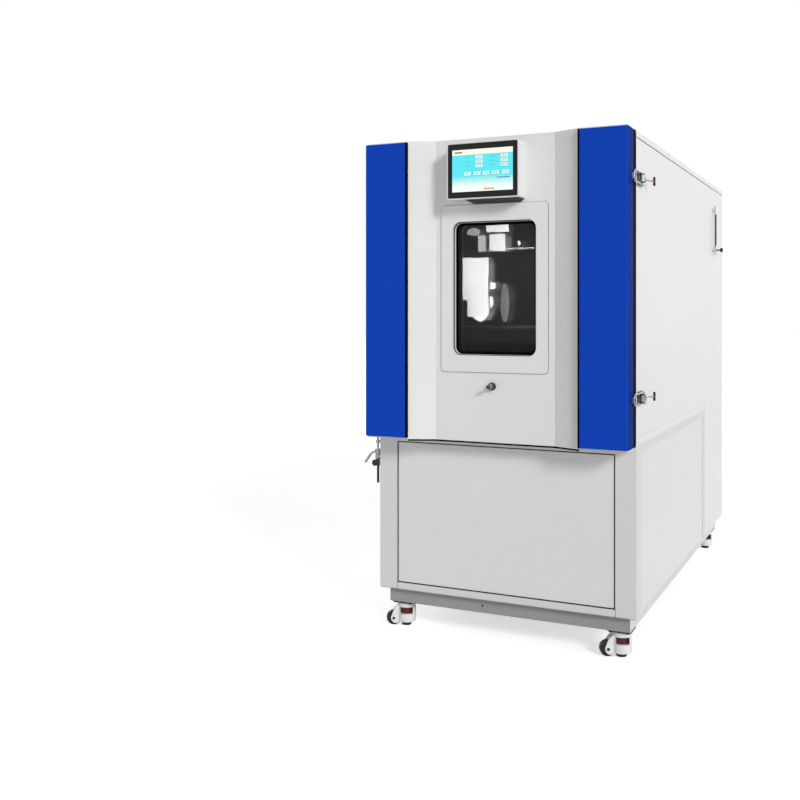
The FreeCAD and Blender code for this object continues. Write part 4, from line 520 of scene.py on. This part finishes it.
# %% Making small pieces
def mesh_piece(name, points, faces, finish, smooth=True):
    """A new object of points in metres; it still has to ride on a body."""
    mesh = bpy.data.meshes.new(name)
    mesh.from_pydata([tuple(p) for p in points], [], faces)
    mesh.validate()
    mesh.shade_smooth() if smooth else mesh.shade_flat()
    mesh.materials.append(finish)
    piece = bpy.data.objects.new(name, mesh)
    bpy.context.scene.collection.objects.link(piece)
    return piece


def skin(rings, segments, closed=False):
    """Faces between rings of points; closed joins the last ring to the first."""
    faces = []
    for k in range(rings if closed else rings - 1):
        a, b = k * segments, (k + 1) % rings * segments
        for i in range(segments):
            j = (i + 1) % segments
            faces.append((a + i, a + j, b + j, b + i))
    return faces


def turned(profile, segments=24):
    """Points and faces of a profile of (radius, height) in mm, turned about Z and closed at both ends."""
    points = []
    for radius, height in profile:
        for i in range(segments):
            a = 2 * math.pi * i / segments
            points.append(Vector((radius * math.cos(a), radius * math.sin(a), height)) * MM)
    faces = skin(len(profile), segments)
    faces.append(tuple(reversed(range(segments))))
    faces.append(tuple(range(len(points) - segments, len(points))))
    return points, faces


def round_rectangle(half_w, half_h, radius, per_corner=8):
    """Outline in the XZ plane, in mm, starting at the lower right corner."""
    outline = []
    for k, (sx, sz) in enumerate(((1, -1), (1, 1), (-1, 1), (-1, -1))):
        for i in range(per_corner + 1):
            a = math.radians(-90 + 90 * k + 90 * i / per_corner)
            outline.append((sx * (half_w - radius) + radius * math.cos(a),
                            sz * (half_h - radius) + radius * math.sin(a)))
    return outline


def swept_ring(half_w, half_h, radius, profile, middle):
    """A closed profile of (outward, depth) pairs in mm carried round a rectangle with round corners."""
    points = [at(middle[0] + x, depth, middle[1] + z) for out, depth in profile
              for x, z in round_rectangle(half_w + out, half_h + out, radius + out)]
    return points, skin(len(profile), len(points) // len(profile), closed=True)


def joined(shapes):
    """Several (points, faces) shapes as one."""
    points, faces = [], []
    for shape_points, shape_faces in shapes:
        start = len(points)
        points.extend(shape_points)
        faces.extend(tuple(start + i for i in face) for face in shape_faces)
    return points, faces


def stamped(shape, places):
    """One small shape copied to many places; each place is a matrix."""
    points, faces = shape
    return joined([([place @ p for p in points], faces) for place in places])


def extruded(outline, low, high):
    """A closed outline of (x, y) in cabinet mm, counter-clockwise from above, carried from low to high."""
    points = [at(x, y, z) for z in (low, high) for x, y in outline]
    count = len(outline)
    return points, skin(2, count) + [tuple(reversed(range(count))), tuple(range(count, 2 * count))]


def facing(point, direction):
    """A matrix that puts a shape's Z axis along a direction, at a point in cabinet mm."""
    turn = Vector(direction).to_track_quat("Z", "Y").to_matrix().to_4x4()
    return Matrix.Translation(at(*point)) @ turn


def fitted(name, body, shape, finish, smooth=True):
    """A piece made of one (points, faces) shape, riding on a body."""
    piece = mesh_piece(name, *shape, finish, smooth)
    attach(piece, body)
    return piece


print("tools ready")

# %% [markdown]
# ## The window's seal, bead, print and lining
# The pane lies 25 mm deep in a painted tunnel. A black rubber seal runs round the tunnel half way down,
# a painted glazing bead holds the pane, and the pane has a black printed border that hides its glue.
# Between the two panes the tunnel is lined with black foam tape, so nothing pale shows through the glass.
# A thin bead of sealant runs round the raised plate of the window, where it lies on the door.
# All five are rings of a rounded rectangle, so one small profile is swept for each.
# From the right only their left sides show: dark, pale, then black.

# %% The window's seal, bead, print and lining
WINDOW_MIDDLE = (0.0, 1158.0)
WINDOW_HALF = (141.0, 215.0)
WINDOW_CORNER = 27.0
PLATE_FACE_Y = -69.0
PLATE_HALF = (180.0, 269.0)
PLATE_CORNER = 14.0
CENTRE_FACE_Y = -65.0
PANE_FACE_Y = -44.0


def window_ring(name, half, corner, profile, finish=edge_rubber_and_shade, smooth=False):
    """One profile carried round the window's middle, riding on the door."""
    return fitted(name, "door", swept_ring(*half, corner, profile, WINDOW_MIDDLE), finish, smooth)


seal = window_ring("window_rubber_seal", WINDOW_HALF, WINDOW_CORNER,
                   [(-0.1, PLATE_FACE_Y + 10.0), (-1.2, PLATE_FACE_Y + 10.6), (-1.9, PLATE_FACE_Y + 12.5),
                    (-1.9, PLATE_FACE_Y + 15.0), (-1.2, PLATE_FACE_Y + 17.0), (-0.1, PLATE_FACE_Y + 17.6)],
                   smooth=True)
bead = window_ring("window_glazing_bead", WINDOW_HALF, WINDOW_CORNER,
                   [(-0.1, PANE_FACE_Y - 6.5), (-1.6, PANE_FACE_Y - 6.2), (-2.6, PANE_FACE_Y - 5.0),
                    (-2.8, PANE_FACE_Y - 0.4), (-0.1, PANE_FACE_Y - 0.4)],
                   finish=light_grey_coat, smooth=True)
border = window_ring("pane_printed_border", WINDOW_HALF, WINDOW_CORNER,
                     [(-0.3, PANE_FACE_Y - 0.15), (-11.0, PANE_FACE_Y - 0.15), (-11.0, PANE_FACE_Y - 0.05),
                      (-0.3, PANE_FACE_Y - 0.05)])
sealant = window_ring("window_plate_seam_sealant", PLATE_HALF, PLATE_CORNER,
                      [(0.1, CENTRE_FACE_Y + 0.1), (0.1, CENTRE_FACE_Y - 1.0), (0.9, CENTRE_FACE_Y - 0.7),
                       (1.2, CENTRE_FACE_Y + 0.1)])
lining = window_ring("window_tunnel_lining", WINDOW_HALF, WINDOW_CORNER,
                     [(-0.1, PANE_FACE_Y + 6.4), (-0.8, PANE_FACE_Y + 6.6), (-0.8, PANE_FACE_Y + 55.4),
                      (-0.1, PANE_FACE_Y + 55.6)])
print("window rings, points:", [len(r.data.vertices) for r in (seal, bead, border, sealant, lining)])

# %% [markdown]
# ## Rubber edges and painted shade of the door
# Four black profiles show round the door, and their black is partly painted shade. A band covers the rear edge
# of each blue side, where the door
# meets the cabinet: a rubber gasket whose black also stands for the shade in the gap. A black angle strip lies
# on the joint between the white front and each blue column, painted shade where the edge of the proud column
# lies in shade. A black strip hangs under the white front and follows its bends, painted shade where the
# underside of the door lies in shade. Each keeps one outline for its whole length, as an extruded rubber does,
# so each is an outline carried along a straight line.

# %% Rubber edges and painted shade of the door
HALF_WIDTH = 438.0
HINGE_HEIGHTS = (760.0, 1158.0, 1540.0)
HINGE_HALF = 46.0
BLUE_LOW, BLUE_HIGH = 671.0, 1636.0
DOOR_LOW = 666.0
WING_X, WING_Y = 286.0, -101.0
BLUE_PROUD = 9.0
BLUE_Y = WING_Y - BLUE_PROUD
CENTRE_X = 201.0
BAND_Y = (-36.0, -8.4)
BOTTOM_SHADE_HEIGHT = 5.5


def mirrored(outline, side):
    """The outline for the right side, or turned over for the left; the order keeps the faces outward."""
    return outline if side > 0 else [(-x, y) for x, y in reversed(outline)]


def trim(name, body, parts, finish=edge_rubber_and_shade):
    """One sharp-edged piece out of several shapes."""
    return fitted(name, body, joined(parts), finish, smooth=False)


band_front, band_rear = BAND_Y
band_outline = [(HALF_WIDTH, band_front), (HALF_WIDTH + 0.5, band_front + 0.6),
                (HALF_WIDTH + 0.7, band_front + 3.0), (HALF_WIDTH + 0.7, band_rear - 2.0),
                (HALF_WIDTH + 0.4, band_rear), (HALF_WIDTH, band_rear)]
# partly painted shade: the black band is a gasket and also the shade in the gap behind the blue side
trim("door_edge_band_right", "door", [extruded(band_outline, BLUE_LOW, BLUE_HIGH)])
cuts = [BLUE_LOW] + [z + s * HINGE_HALF for z in HINGE_HEIGHTS for s in (-1, 1)] + [BLUE_HIGH]
trim("door_edge_band_left", "door",
     [extruded(mirrored(band_outline, -1), low, high) for low, high in zip(cuts[::2], cuts[1::2])])
# painted shade: a black strip at the inner edge of each blue column, where that edge lies in shade
column_shade_outline = [(WING_X - 0.8, WING_Y + 0.3), (WING_X - 0.8, BLUE_Y - 0.4), (WING_X, BLUE_Y - 1.2),
                (WING_X + 4.2, BLUE_Y - 1.2), (WING_X + 5.0, BLUE_Y - 0.4), (WING_X + 5.0, BLUE_Y + 0.3),
                (WING_X + 0.3, BLUE_Y + 0.3), (WING_X + 0.3, WING_Y + 0.3)]
for side, word in ((1, "right"), (-1, "left")):
    trim("column_shade_strip_" + word, "door", [extruded(mirrored(column_shade_outline, side), BLUE_LOW, BLUE_HIGH)])
front_line = [(-WING_X, WING_Y), (-CENTRE_X, CENTRE_FACE_Y), (CENTRE_X, CENTRE_FACE_Y), (WING_X, WING_Y)]
# painted shade: a black strip under the white front, where the underside of the door lies in shade
bottom_shade_outline = [(x, y + 1.5) for x, y in front_line] + [(x, y + 6.0) for x, y in reversed(front_line)]
trim("door_bottom_shade_strip", "door", [extruded(bottom_shade_outline, DOOR_LOW - BOTTOM_SHADE_HEIGHT, DOOR_LOW + 0.2)])
print("door edges: band", round(band_rear - band_front, 1), "mm deep,", len(cuts) // 2, "lengths at the hinges")

# %% [markdown]
# ## Seams of the cabinet
# Sheet parts never meet without a line. The roof cover sits on the walls over a groove, and the dark strip in
# it is painted shade, for the shade in the groove. The service panel has a dark foam strip in its gap, which is
# also painted shade for the gap, and each post stands beside the lower rail with an open butt joint, whose
# shade is painted as a dark strip.
# These strips are dark and thin, and they are what makes large plain panels readable.

# %% Seams of the cabinet
DEPTH_Y = 1772.0
ROOF_SEAM = (1616.2, 1618.8)
PANEL_MIDDLE = (0.0, 404.0)
PANEL_HALF = (371.0, 238.0)
PANEL_CORNER = 2.0
RAIL_LOW, RAIL_TOP = 140.0, 166.0


def rectangle(x0, x1, y0, y1):
    """The outline of a rectangle, counter-clockwise from above."""
    return [(x0, y0), (x1, y0), (x1, y1), (x0, y1)]


groove_x = HALF_WIDTH - 1.0
side_seam = rectangle(groove_x - 0.1, groove_x + 0.6, 4.0, DEPTH_Y - 1.0)
rear_seam = rectangle(-groove_x, groove_x, DEPTH_Y - 1.1, DEPTH_Y - 0.4)
# painted shade: a dark strip in the roof groove, where the groove lies in shade
trim("roof_seam_shade_strip", "cabinet",
     [extruded(outline, *ROOF_SEAM) for outline in (side_seam, mirrored(side_seam, -1), rear_seam)],
     finish=seal_rubber_and_shade)
strip_profile = [(-1.6, 2.9), (-1.6, 1.4), (-0.8, 0.8), (1.0, 0.8), (1.8, 1.6), (1.8, 2.9)]
# partly painted shade: the dark strip in the panel gap stands in for the shade there
panel_strip = fitted("service_panel_foam_and_shade_strip", "cabinet",
                     swept_ring(*PANEL_HALF, PANEL_CORNER, strip_profile, PANEL_MIDDLE), seal_rubber_and_shade)
joint_outline = [(372.4, 0.4), (372.7, -0.2), (373.7, -0.2), (374.0, 0.4)]
# painted shade: dark strips in the open butt joints, where the joints lie in shade
trim("post_joint_shade_lines", "cabinet",
     [extruded(mirrored(joint_outline, side), RAIL_LOW, RAIL_TOP) for side in (1, -1)], finish=seal_rubber_and_shade)
print("seams: roof", ROOF_SEAM, "panel strip points", len(panel_strip.data.vertices))

# %% [markdown]
# ## Under the display
# A black cowl fills the space between the housing and the door. Its dark is partly painted shade: it stands in
# for the shaded underside of the housing and the shade under it. It starts 60 mm from the left, is 9 mm deep at
# the door and runs out at the front, so from the low camera it reads as the dark wedge below the screen. Ribs
# across it let the air out. Cowl and ribs are one closed wedge each.

# %% Under the display
HOUSING_LOW = 1438.0
COWL_X = (-77.0, 103.0)
COWL_Y = (-125.0, -66.5)
COWL_DROP = 9.0
COWL_TAPER = 11.0
COWL_LIP = 0.4
COWL_RIBS = 11
RIB_HALF = 2.0
RIB_TAPER = 0.5
RIB_PROUD = 0.8


def wedge(x0, x1, taper, drop, lift=0.1):
    """Top outline under the housing, and a lower edge at the door that is drop deep and taper shorter."""
    y0, y1 = COWL_Y
    top = HOUSING_LOW - lift
    points = [at(x0, y0, top), at(x1, y0, top), at(x1, y1, top), at(x0, y1, top),
              at(x0, y0, top - COWL_LIP), at(x1, y0, top - COWL_LIP),
              at(x1 - taper, y1, top - drop), at(x0 + taper, y1, top - drop)]
    faces = [(0, 1, 2, 3), (4, 7, 6, 5), (0, 4, 5, 1), (1, 5, 6, 2), (2, 6, 7, 3), (3, 7, 4, 0)]
    return points, faces


rib_pitch = (COWL_X[1] - COWL_X[0] - 2 * COWL_TAPER) / COWL_RIBS
rib_spots = [COWL_X[0] + COWL_TAPER + (i + 0.5) * rib_pitch for i in range(COWL_RIBS)]
ribs = [wedge(x - RIB_HALF, x + RIB_HALF, RIB_TAPER, COWL_DROP + RIB_PROUD, lift=0.2) for x in rib_spots]
# painted shade: the dark grey cowl stands in for the shade under the display housing
trim("display_cowl_and_shade", "door", [wedge(*COWL_X, COWL_TAPER, COWL_DROP)] + ribs,
     finish=cowl_abs_shade)
print("cowl ribs:", COWL_RIBS, "every", round(rib_pitch, 1), "mm")

# %% [markdown]
# ## The key in the lock
# A round key stands in the lock below the window: a nickel barrel with a black cap. It is small,
# but it throws a long thin shadow down to the left, which tells where the light comes from.

# %% The key in the lock
LOCK_SPOT = (-6.0, -80.3, 845.0)
barrel = [(3.2, -0.2), (3.6, 0.2), (3.6, 11.0), (4.4, 11.6), (4.4, 14.0), (3.4, 14.6)]
cap = [(4.6, 14.2), (5.4, 14.8), (5.6, 17.0), (5.4, 24.0), (4.6, 25.6), (2.4, 26.2)]
key_place = [facing(LOCK_SPOT, (0, -1, 0))]
for name, profile, finish in (("key_barrel", barrel, satin_nickel), ("key_cap", cap, black_lever)):
    fitted(name, "lock_core", stamped(turned(profile, 28), key_place), finish)
print("key stands out", cap[-1][1], "mm")

# %% [markdown]
# ## Axle screws of the casters
# Each wheel turns on a screw with a black hexagon-socket head in the fork. One small head with a sunk
# socket is turned and put on both sides of each fork.

# %% Axle screws of the casters
CASTER_SPOTS = {"front_right": (374.0, 77.0), "front_left": (-374.0, 77.0),
                "rear_right": (374.0, 1695.0), "rear_left": (-374.0, 1695.0)}
CASTER_TURN = math.radians(204.0)
CASTER_TRAIL = 44.0
AXLE_Z = 25.5
FORK_FACE = 19.6
screw_profile = [(4.6, -0.4), (4.6, 0.7), (4.1, 1.2), (2.4, 1.2), (2.2, 0.3), (0.3, 0.2)]
trail = Vector((math.cos(CASTER_TURN), math.sin(CASTER_TURN), 0.0)) * CASTER_TRAIL
across = Vector((-math.sin(CASTER_TURN), math.cos(CASTER_TURN), 0.0))
for corner, (x, y) in CASTER_SPOTS.items():
    middle = Vector((x, y, AXLE_Z)) + trail
    places = [facing(middle + across * side * FORK_FACE, across * side) for side in (1, -1)]
    fitted("axle_screws_" + corner, "caster_" + corner,
           stamped(turned(screw_profile, 24), places), black_oxide)
print("axle screws:", 2 * len(CASTER_SPOTS))

# %% [markdown]
# ## The red grips
# Each toggle latch ends in a T-shaped grip of dark red plastic, moulded over the steel bar. Its ends are
# full and its waist is a little thinner, where the finger pulls. A turned profile with eased ends gives it.

# %% The red grips
GRIP_SPOT = (468.0, 119.0)
LATCH_HEIGHTS = {"upper": 1493.0, "lower": 817.0}
GRIP_HALF = [(3.7, 3.0), (3.85, 8.0), (3.8, 12.0), (3.55, 13.1), (2.9, 13.8), (1.8, 14.15), (0.4, 14.2)]
grip_profile = [(radius, -height) for radius, height in reversed(GRIP_HALF)] + GRIP_HALF
for level, height in LATCH_HEIGHTS.items():
    place = Matrix.Translation(at(*GRIP_SPOT, height))
    fitted("grip_" + level, "latch_handle_" + level,
           stamped(turned(grip_profile, 32), [place]), red_acetal)
print("grips at", list(LATCH_HEIGHTS.values()))

# %% [markdown]
# ## Screws
# Sheet metal is held by pan-head screws with a cross recess, 8 mm across and 2 mm high. One head
# is turned, its cross is cut in as two crossing dips of the dome, and it is stamped wherever a
# real cabinet has one: hinge leaves, latch plates, the cable port and the rim of the rear sheet.

# %% Screws
HEAD_RADIUS = 4.0
HEAD_HEIGHT = 2.2
SMALL_HEAD = {"radius": 3.0, "height": 1.6}
# the cross as shares of the head's radius and height
CROSS_HALF, CROSS_REACH, CROSS_DEPTH = 0.13, 0.62, 0.55
REAR_EDGE_X = 428.0
REAR_HEIGHTS = (160.0, 450.0, 740.0, 1030.0, 1320.0, 1600.0)
LEAF_THICKNESS = 4.0
LEAF_SCREW_Y = {"cabinet": 36.0, "door": -46.0}
LEAF_SCREW_DZ = (-32.0, 0.0, 32.0)
PLATE_THICKNESS = 2.5
LATCH_SCREW_Y = (17.0, 79.0)
LATCH_SCREW_DZ = (-13.0, 13.0)
PORT_Y, PORT_Z = 420.0, 1200.0
PORT_CIRCLE = 31.0
PLINTH_SCREW_SPOT = (-74.4, 28.0, 113.5)


def screw_head(radius, height, rings=7, segments=32):
    """A domed head whose top dips along a cross; segments is a multiple of eight."""
    points = []
    for k in range(rings + 1):
        share = 1 - k / rings
        r = radius * math.sin(share * math.pi / 2) if k else radius
        dome = height * math.cos(share * math.pi / 2) ** 0.6
        for i in range(segments):
            a = 2 * math.pi * i / segments
            x, y = r * math.cos(a), r * math.sin(a)
            near, far = sorted((abs(x), abs(y)))
            on_cross = near < radius * CROSS_HALF and far < radius * CROSS_REACH
            dip = height * CROSS_DEPTH if on_cross and k else 0.0
            points.append(Vector((x, y, max(dome - dip, 0.0))) * MM)
    return points, skin(rings + 1, segments) + [tuple(reversed(range(segments)))]


def screws(name, body, spots, direction, radius=HEAD_RADIUS, height=HEAD_HEIGHT, finish=satin_nickel,
           slot="hinge_steel"):
    """One head stamped at every spot; returns how many."""
    places = [facing(spot, direction) for spot in spots]
    fitted(name, body, stamped(screw_head(radius, height), places), finish)
    return len(places)


to_left, to_right, to_front, to_back = (-1, 0, 0), (1, 0, 0), (0, -1, 0), (0, 1, 0)
left_face_x = -HALF_WIDTH - LEAF_THICKNESS
rear_spots = [(sx * REAR_EDGE_X, DEPTH_Y, z) for sx in (-1, 1) for z in REAR_HEIGHTS]
rear_spots += [(sx * REAR_EDGE_X / 2, DEPTH_Y, z)
               for sx in (-1, 0, 1) for z in (REAR_HEIGHTS[0], REAR_HEIGHTS[-1])]
count = screws("rear_panel_screws", "cabinet", rear_spots, to_back)
for body, y in LEAF_SCREW_Y.items():
    leaf_spots = [(left_face_x, y, z + dz) for z in HINGE_HEIGHTS for dz in LEAF_SCREW_DZ]
    count += screws("hinge_screws_" + body, body, leaf_spots, to_left)
latch_spots = [(HALF_WIDTH + PLATE_THICKNESS, y, z + dz)
               for z in LATCH_HEIGHTS.values() for y in LATCH_SCREW_Y for dz in LATCH_SCREW_DZ]
count += screws("latch_plate_screws", "cabinet", latch_spots, to_right, **SMALL_HEAD, slot="chrome")
port_spots = [(left_face_x, PORT_Y + PORT_CIRCLE * math.cos(a), PORT_Z + PORT_CIRCLE * math.sin(a))
              for a in (math.pi / 4 + k * math.pi / 2 for k in range(4))]
count += screws("port_flange_screws", "cabinet", port_spots, to_left, **SMALL_HEAD)
count += screws("plinth_screw", "cabinet", [PLINTH_SCREW_SPOT], to_front, radius=3.5, height=1.6,
                finish=black_oxide)
print("screws stamped:", count)

# %% [markdown]
# ## Numbers on the display
# Plain numbers stand in the value boxes: temperatures, humidities, times. They are text curves turned
# into thin meshes, because a mesh keeps its shape in every other program.

# %% Numbers on the display
READINGS = {
    (0, 0): "25.0", (0, 1): "60.0", (0, 2): "12.5",
    (1, 0): "25.0", (1, 1): "60.0", (1, 2): "08:30",
}
LOWER_READINGS = ("01", "24", "150", "00:45", "3.20")
READING_MM, LOWER_READING_MM = 8.5, 7.5


def number(name, text, x, z, size_mm):
    """Text centred at a place on the screen, in screen mm, as a thin mesh in front of the glass."""
    curve = bpy.data.curves.new(name, "FONT")
    curve.body = text
    curve.size = size_mm * MM
    curve.align_x = "CENTER"
    curve.align_y = "CENTER"
    curve.resolution_u = 3
    written = bpy.data.objects.new(name + "_curve", curve)
    bpy.context.scene.collection.objects.link(written)
    bpy.context.view_layer.update()
    mesh = bpy.data.meshes.new_from_object(written.evaluated_get(bpy.context.evaluated_depsgraph_get()))
    bpy.data.objects.remove(written)
    spot = Vector((screen_low.x + x * MM, screen_low.y - 0.1 * MM, screen_low.z + z * MM))
    mesh.transform(Matrix.Translation(spot) @ Matrix.Rotation(math.pi / 2, 4, "X"))
    return mesh


ink, ink_tree, ink_shader = new_finish("display_ink_navy", Roughness=0.3)
ink_noise = grain(ink_tree, 0.6)
link(ink_tree, ink_shader, Base_Color=mixed(ink_tree, ink_noise, linear("#4E8E9C"), linear("#5E9DA8")))
number_meshes = [number("reading", text, BOX_COLUMNS[column], BOX_ROWS[row], READING_MM)
                 for (column, row), text in READINGS.items()]
number_meshes += [number("reading", text, x_mid, LOWER_BOX_ROW, LOWER_READING_MM)
                  for x_mid, text in zip(LOWER_BOXES, LOWER_READINGS)]
number_shapes = [([v.co.copy() for v in mesh.vertices], [tuple(face.vertices) for face in mesh.polygons])
                 for mesh in number_meshes]
numbers = trim("display_numbers", "door", number_shapes, finish=ink)
print("numbers:", len(number_meshes), "readings,", len(numbers.data.polygons), "faces")

# %% [markdown]
# ## The gauge glass
# The water gauge is a glass tube between two fittings. A slightly larger clear sleeve over the CAD core
# gives the glass its wall; the core inside it reads as the column of water.

# %% The gauge glass
GAUGE_SPOT = (451.0, 1490.0)
TUBE_LOW, TUBE_HIGH = 1369.0, 1505.0
CORE_RADIUS, SLEEVE_RADIUS = 3.7, 4.5
sleeve_profile = [(CORE_RADIUS, TUBE_LOW), (SLEEVE_RADIUS, TUBE_LOW), (SLEEVE_RADIUS, TUBE_HIGH),
                  (CORE_RADIUS, TUBE_HIGH)]
sleeve_points, sleeve_faces = turned(sleeve_profile, 32)
open_sleeve = (sleeve_points, sleeve_faces[:-2])
fitted("gauge_glass_sleeve", "cabinet",
       stamped(open_sleeve, [Matrix.Translation(at(*GAUGE_SPOT, 0.0))]), clear_glass)
print("gauge tube", TUBE_HIGH - TUBE_LOW, "mm long")

# %% [markdown]
# ## Floor and sky
# The object stands on a plain pale floor under a white sky, as in a catalogue. The floor and the sky
# look white to the camera through a light-path switch, not through more light on the object.

# %% Floor and sky
FLOOR_SIZE = 60.0
FLOOR_GLOW = 0.56
AMBIENT = 0.33

world = bpy.data.worlds.new("white_sky")
bpy.context.scene.world = world
world.use_nodes = True
sky = world.node_tree
sky.nodes.clear()
path = add(sky, "ShaderNodeLightPath").outputs
seen = maths(sky, "MAXIMUM", path["Is Camera Ray"], path["Is Transmission Ray"])
seen = maths(sky, "MAXIMUM", seen, path["Is Glossy Ray"])
fill_sky = add(sky, "ShaderNodeBackground", {"Color": linear("#FFFFFF"), "Strength": AMBIENT})
white_sky = add(sky, "ShaderNodeBackground", {"Color": linear("#FFFFFF"), "Strength": 1.0})
both = add(sky, "ShaderNodeMixShader", {0: seen, 1: fill_sky.outputs[0], 2: white_sky.outputs[0]})
add(sky, "ShaderNodeOutputWorld", {"Surface": both.outputs[0]})

floor_finish, floor_tree, floor_shader = new_finish("floor_matt_white", Roughness=0.9, Specular_IOR_Level=0.1)
floor_grain = grain(floor_tree, 400.0)
floor_path = add(floor_tree, "ShaderNodeLightPath").outputs
link(floor_tree, floor_shader,
     Base_Color=mixed(floor_tree, floor_grain, linear("#EDEDED"), linear("#F1F1F1")),
     Emission_Strength=between(floor_tree, floor_path["Is Camera Ray"], 0.0, FLOOR_GLOW, 0.0, 1.0))
floor_shader.inputs["Emission Color"].default_value = linear("#FFFFFF")
half_floor = FLOOR_SIZE / 2
floor_points = [Vector((x, y, 0.0)) for x, y in rectangle(-half_floor, half_floor, -half_floor, half_floor)]
floor = mesh_piece("floor", floor_points, [(0, 1, 2, 3)], floor_finish, smooth=False)
print("floor", FLOOR_SIZE, "m across, sky", AMBIENT)

# %% [markdown]
# ## Lamps
# The main light comes from the right front, about 25 degrees up, as the shadow of the display's housing
# shows. A broad weaker light from the right lifts the long side, and one from behind on the left reaches
# only the back and the hinge side. A weak glow in the test space shows the shelf through the glass.

# %% Lamps
# name, direction it shines from, strength, angle over which it spreads in degrees
LAMPS = (
    ("key_lamp", (71.5, -55.8, 42.0), 1.84, 14.0),
    ("side_lamp", (100.0, -12.0, 18.0), 0.41, 40.0),
    ("back_lamp", (-70.0, 60.0, 26.0), 1.1, 50.0),
)
GLOW_SPOT = (0.0, 330.0, 1250.0)
GLOW_WATTS = 0.6
GLOW_RADIUS_MM = 30.0


def lamp_from(name, direction, strength, spread_degrees):
    """A far lamp that shines from a direction toward the object."""
    data = bpy.data.lights.new(name, "SUN")
    data.energy = strength
    data.angle = math.radians(spread_degrees)
    lamp = bpy.data.objects.new(name, data)
    lamp.rotation_euler = Vector(direction).to_track_quat("Z", "Y").to_euler()
    bpy.context.scene.collection.objects.link(lamp)


for lamp_row in LAMPS:
    lamp_from(*lamp_row)
glow_data = bpy.data.lights.new("inside_glow", "POINT")
glow_data.energy = GLOW_WATTS
glow_data.shadow_soft_size = GLOW_RADIUS_MM * MM
inside_glow = bpy.data.objects.new("inside_glow", glow_data)
inside_glow.location = at(*GLOW_SPOT)
bpy.context.scene.collection.objects.link(inside_glow)
print("lamps:", len(LAMPS), "far, one inside")

# %% [markdown]
# ## Soft boxes
# A photo studio mirrors its soft boxes in glass: they are the white patches in the window. Each box
# stands beside the camera where the pane mirrors it to the right spot, and lights nothing else much.

# %% Soft boxes
# picture column and row, width and height in pixels, glow, shape
SOFT_BOXES = (
    (475.0, 278.5, 28.0, 43.0, 1.0, "RECTANGLE"),
    (477.8, 307.0, 23.0, 19.0, 1.0, "RECTANGLE"),
    (479.5, 315.0, 15.0, 13.0, 1.0, "ELLIPSE"),
    (492.3, 285.5, 6.0, 8.0, 0.9, "ELLIPSE"),
    (491.2, 302.0, 4.0, 12.0, 0.9, "ELLIPSE"),
    (497.0, 228.6, 24.0, 7.0, 1.0, "RECTANGLE"),
    (497.0, 242.5, 17.0, 17.0, 1.0, "RECTANGLE"),
    (481.5, 243.0, 8.5, 17.0, 0.55, "RECTANGLE"),
    (473.0, 231.0, 15.0, 8.0, 0.3, "ELLIPSE"),
    (504.5, 303.0, 9.0, 40.0, 0.16, "ELLIPSE"),
    (518.5, 244.0, 2.5, 5.0, 1.0, "ELLIPSE"),
    (519.0, 249.0, 32.0, 1.3, 0.6, "RECTANGLE"),
)
# a box at BOX_MIDDLE shows at MIRROR_SPOT in the picture, and moved by MM_PER_COLUMN or MM_PER_ROW it
# shows one pixel further
BOX_MIDDLE = (-1236.0, -3000.0, 1226.0)
MIRROR_SPOT = (474.5, 288.3)
MM_PER_COLUMN, MM_PER_ROW = 6.67, 6.3
BOX_MM_PER_PIXEL = 6.2
GLASS_GAIN = 45.0


def soft_box(name, column, row, width, height, glow, shape):
    """A soft box beside the camera, placed by where its reflection shows in the window."""
    data = bpy.data.lights.new(name, "AREA")
    data.shape = shape
    data.size, data.size_y = width * BOX_MM_PER_PIXEL * MM, height * BOX_MM_PER_PIXEL * MM
    data.energy = glow * GLASS_GAIN * data.size * data.size_y * math.pi
    lamp = bpy.data.objects.new(name, data)
    x, y, z = BOX_MIDDLE
    lamp.location = at(x + MM_PER_COLUMN * (column - MIRROR_SPOT[0]), y,
                       z - MM_PER_ROW * (row - MIRROR_SPOT[1]))
    lamp.rotation_euler = (math.pi / 2, 0.0, 0.0)
    lamp.visible_camera = False
    lamp.visible_diffuse = False
    bpy.context.scene.collection.objects.link(lamp)


for i, box_row in enumerate(SOFT_BOXES):
    soft_box("soft_box_%02d" % i, *box_row)
print("soft boxes:", len(SOFT_BOXES))
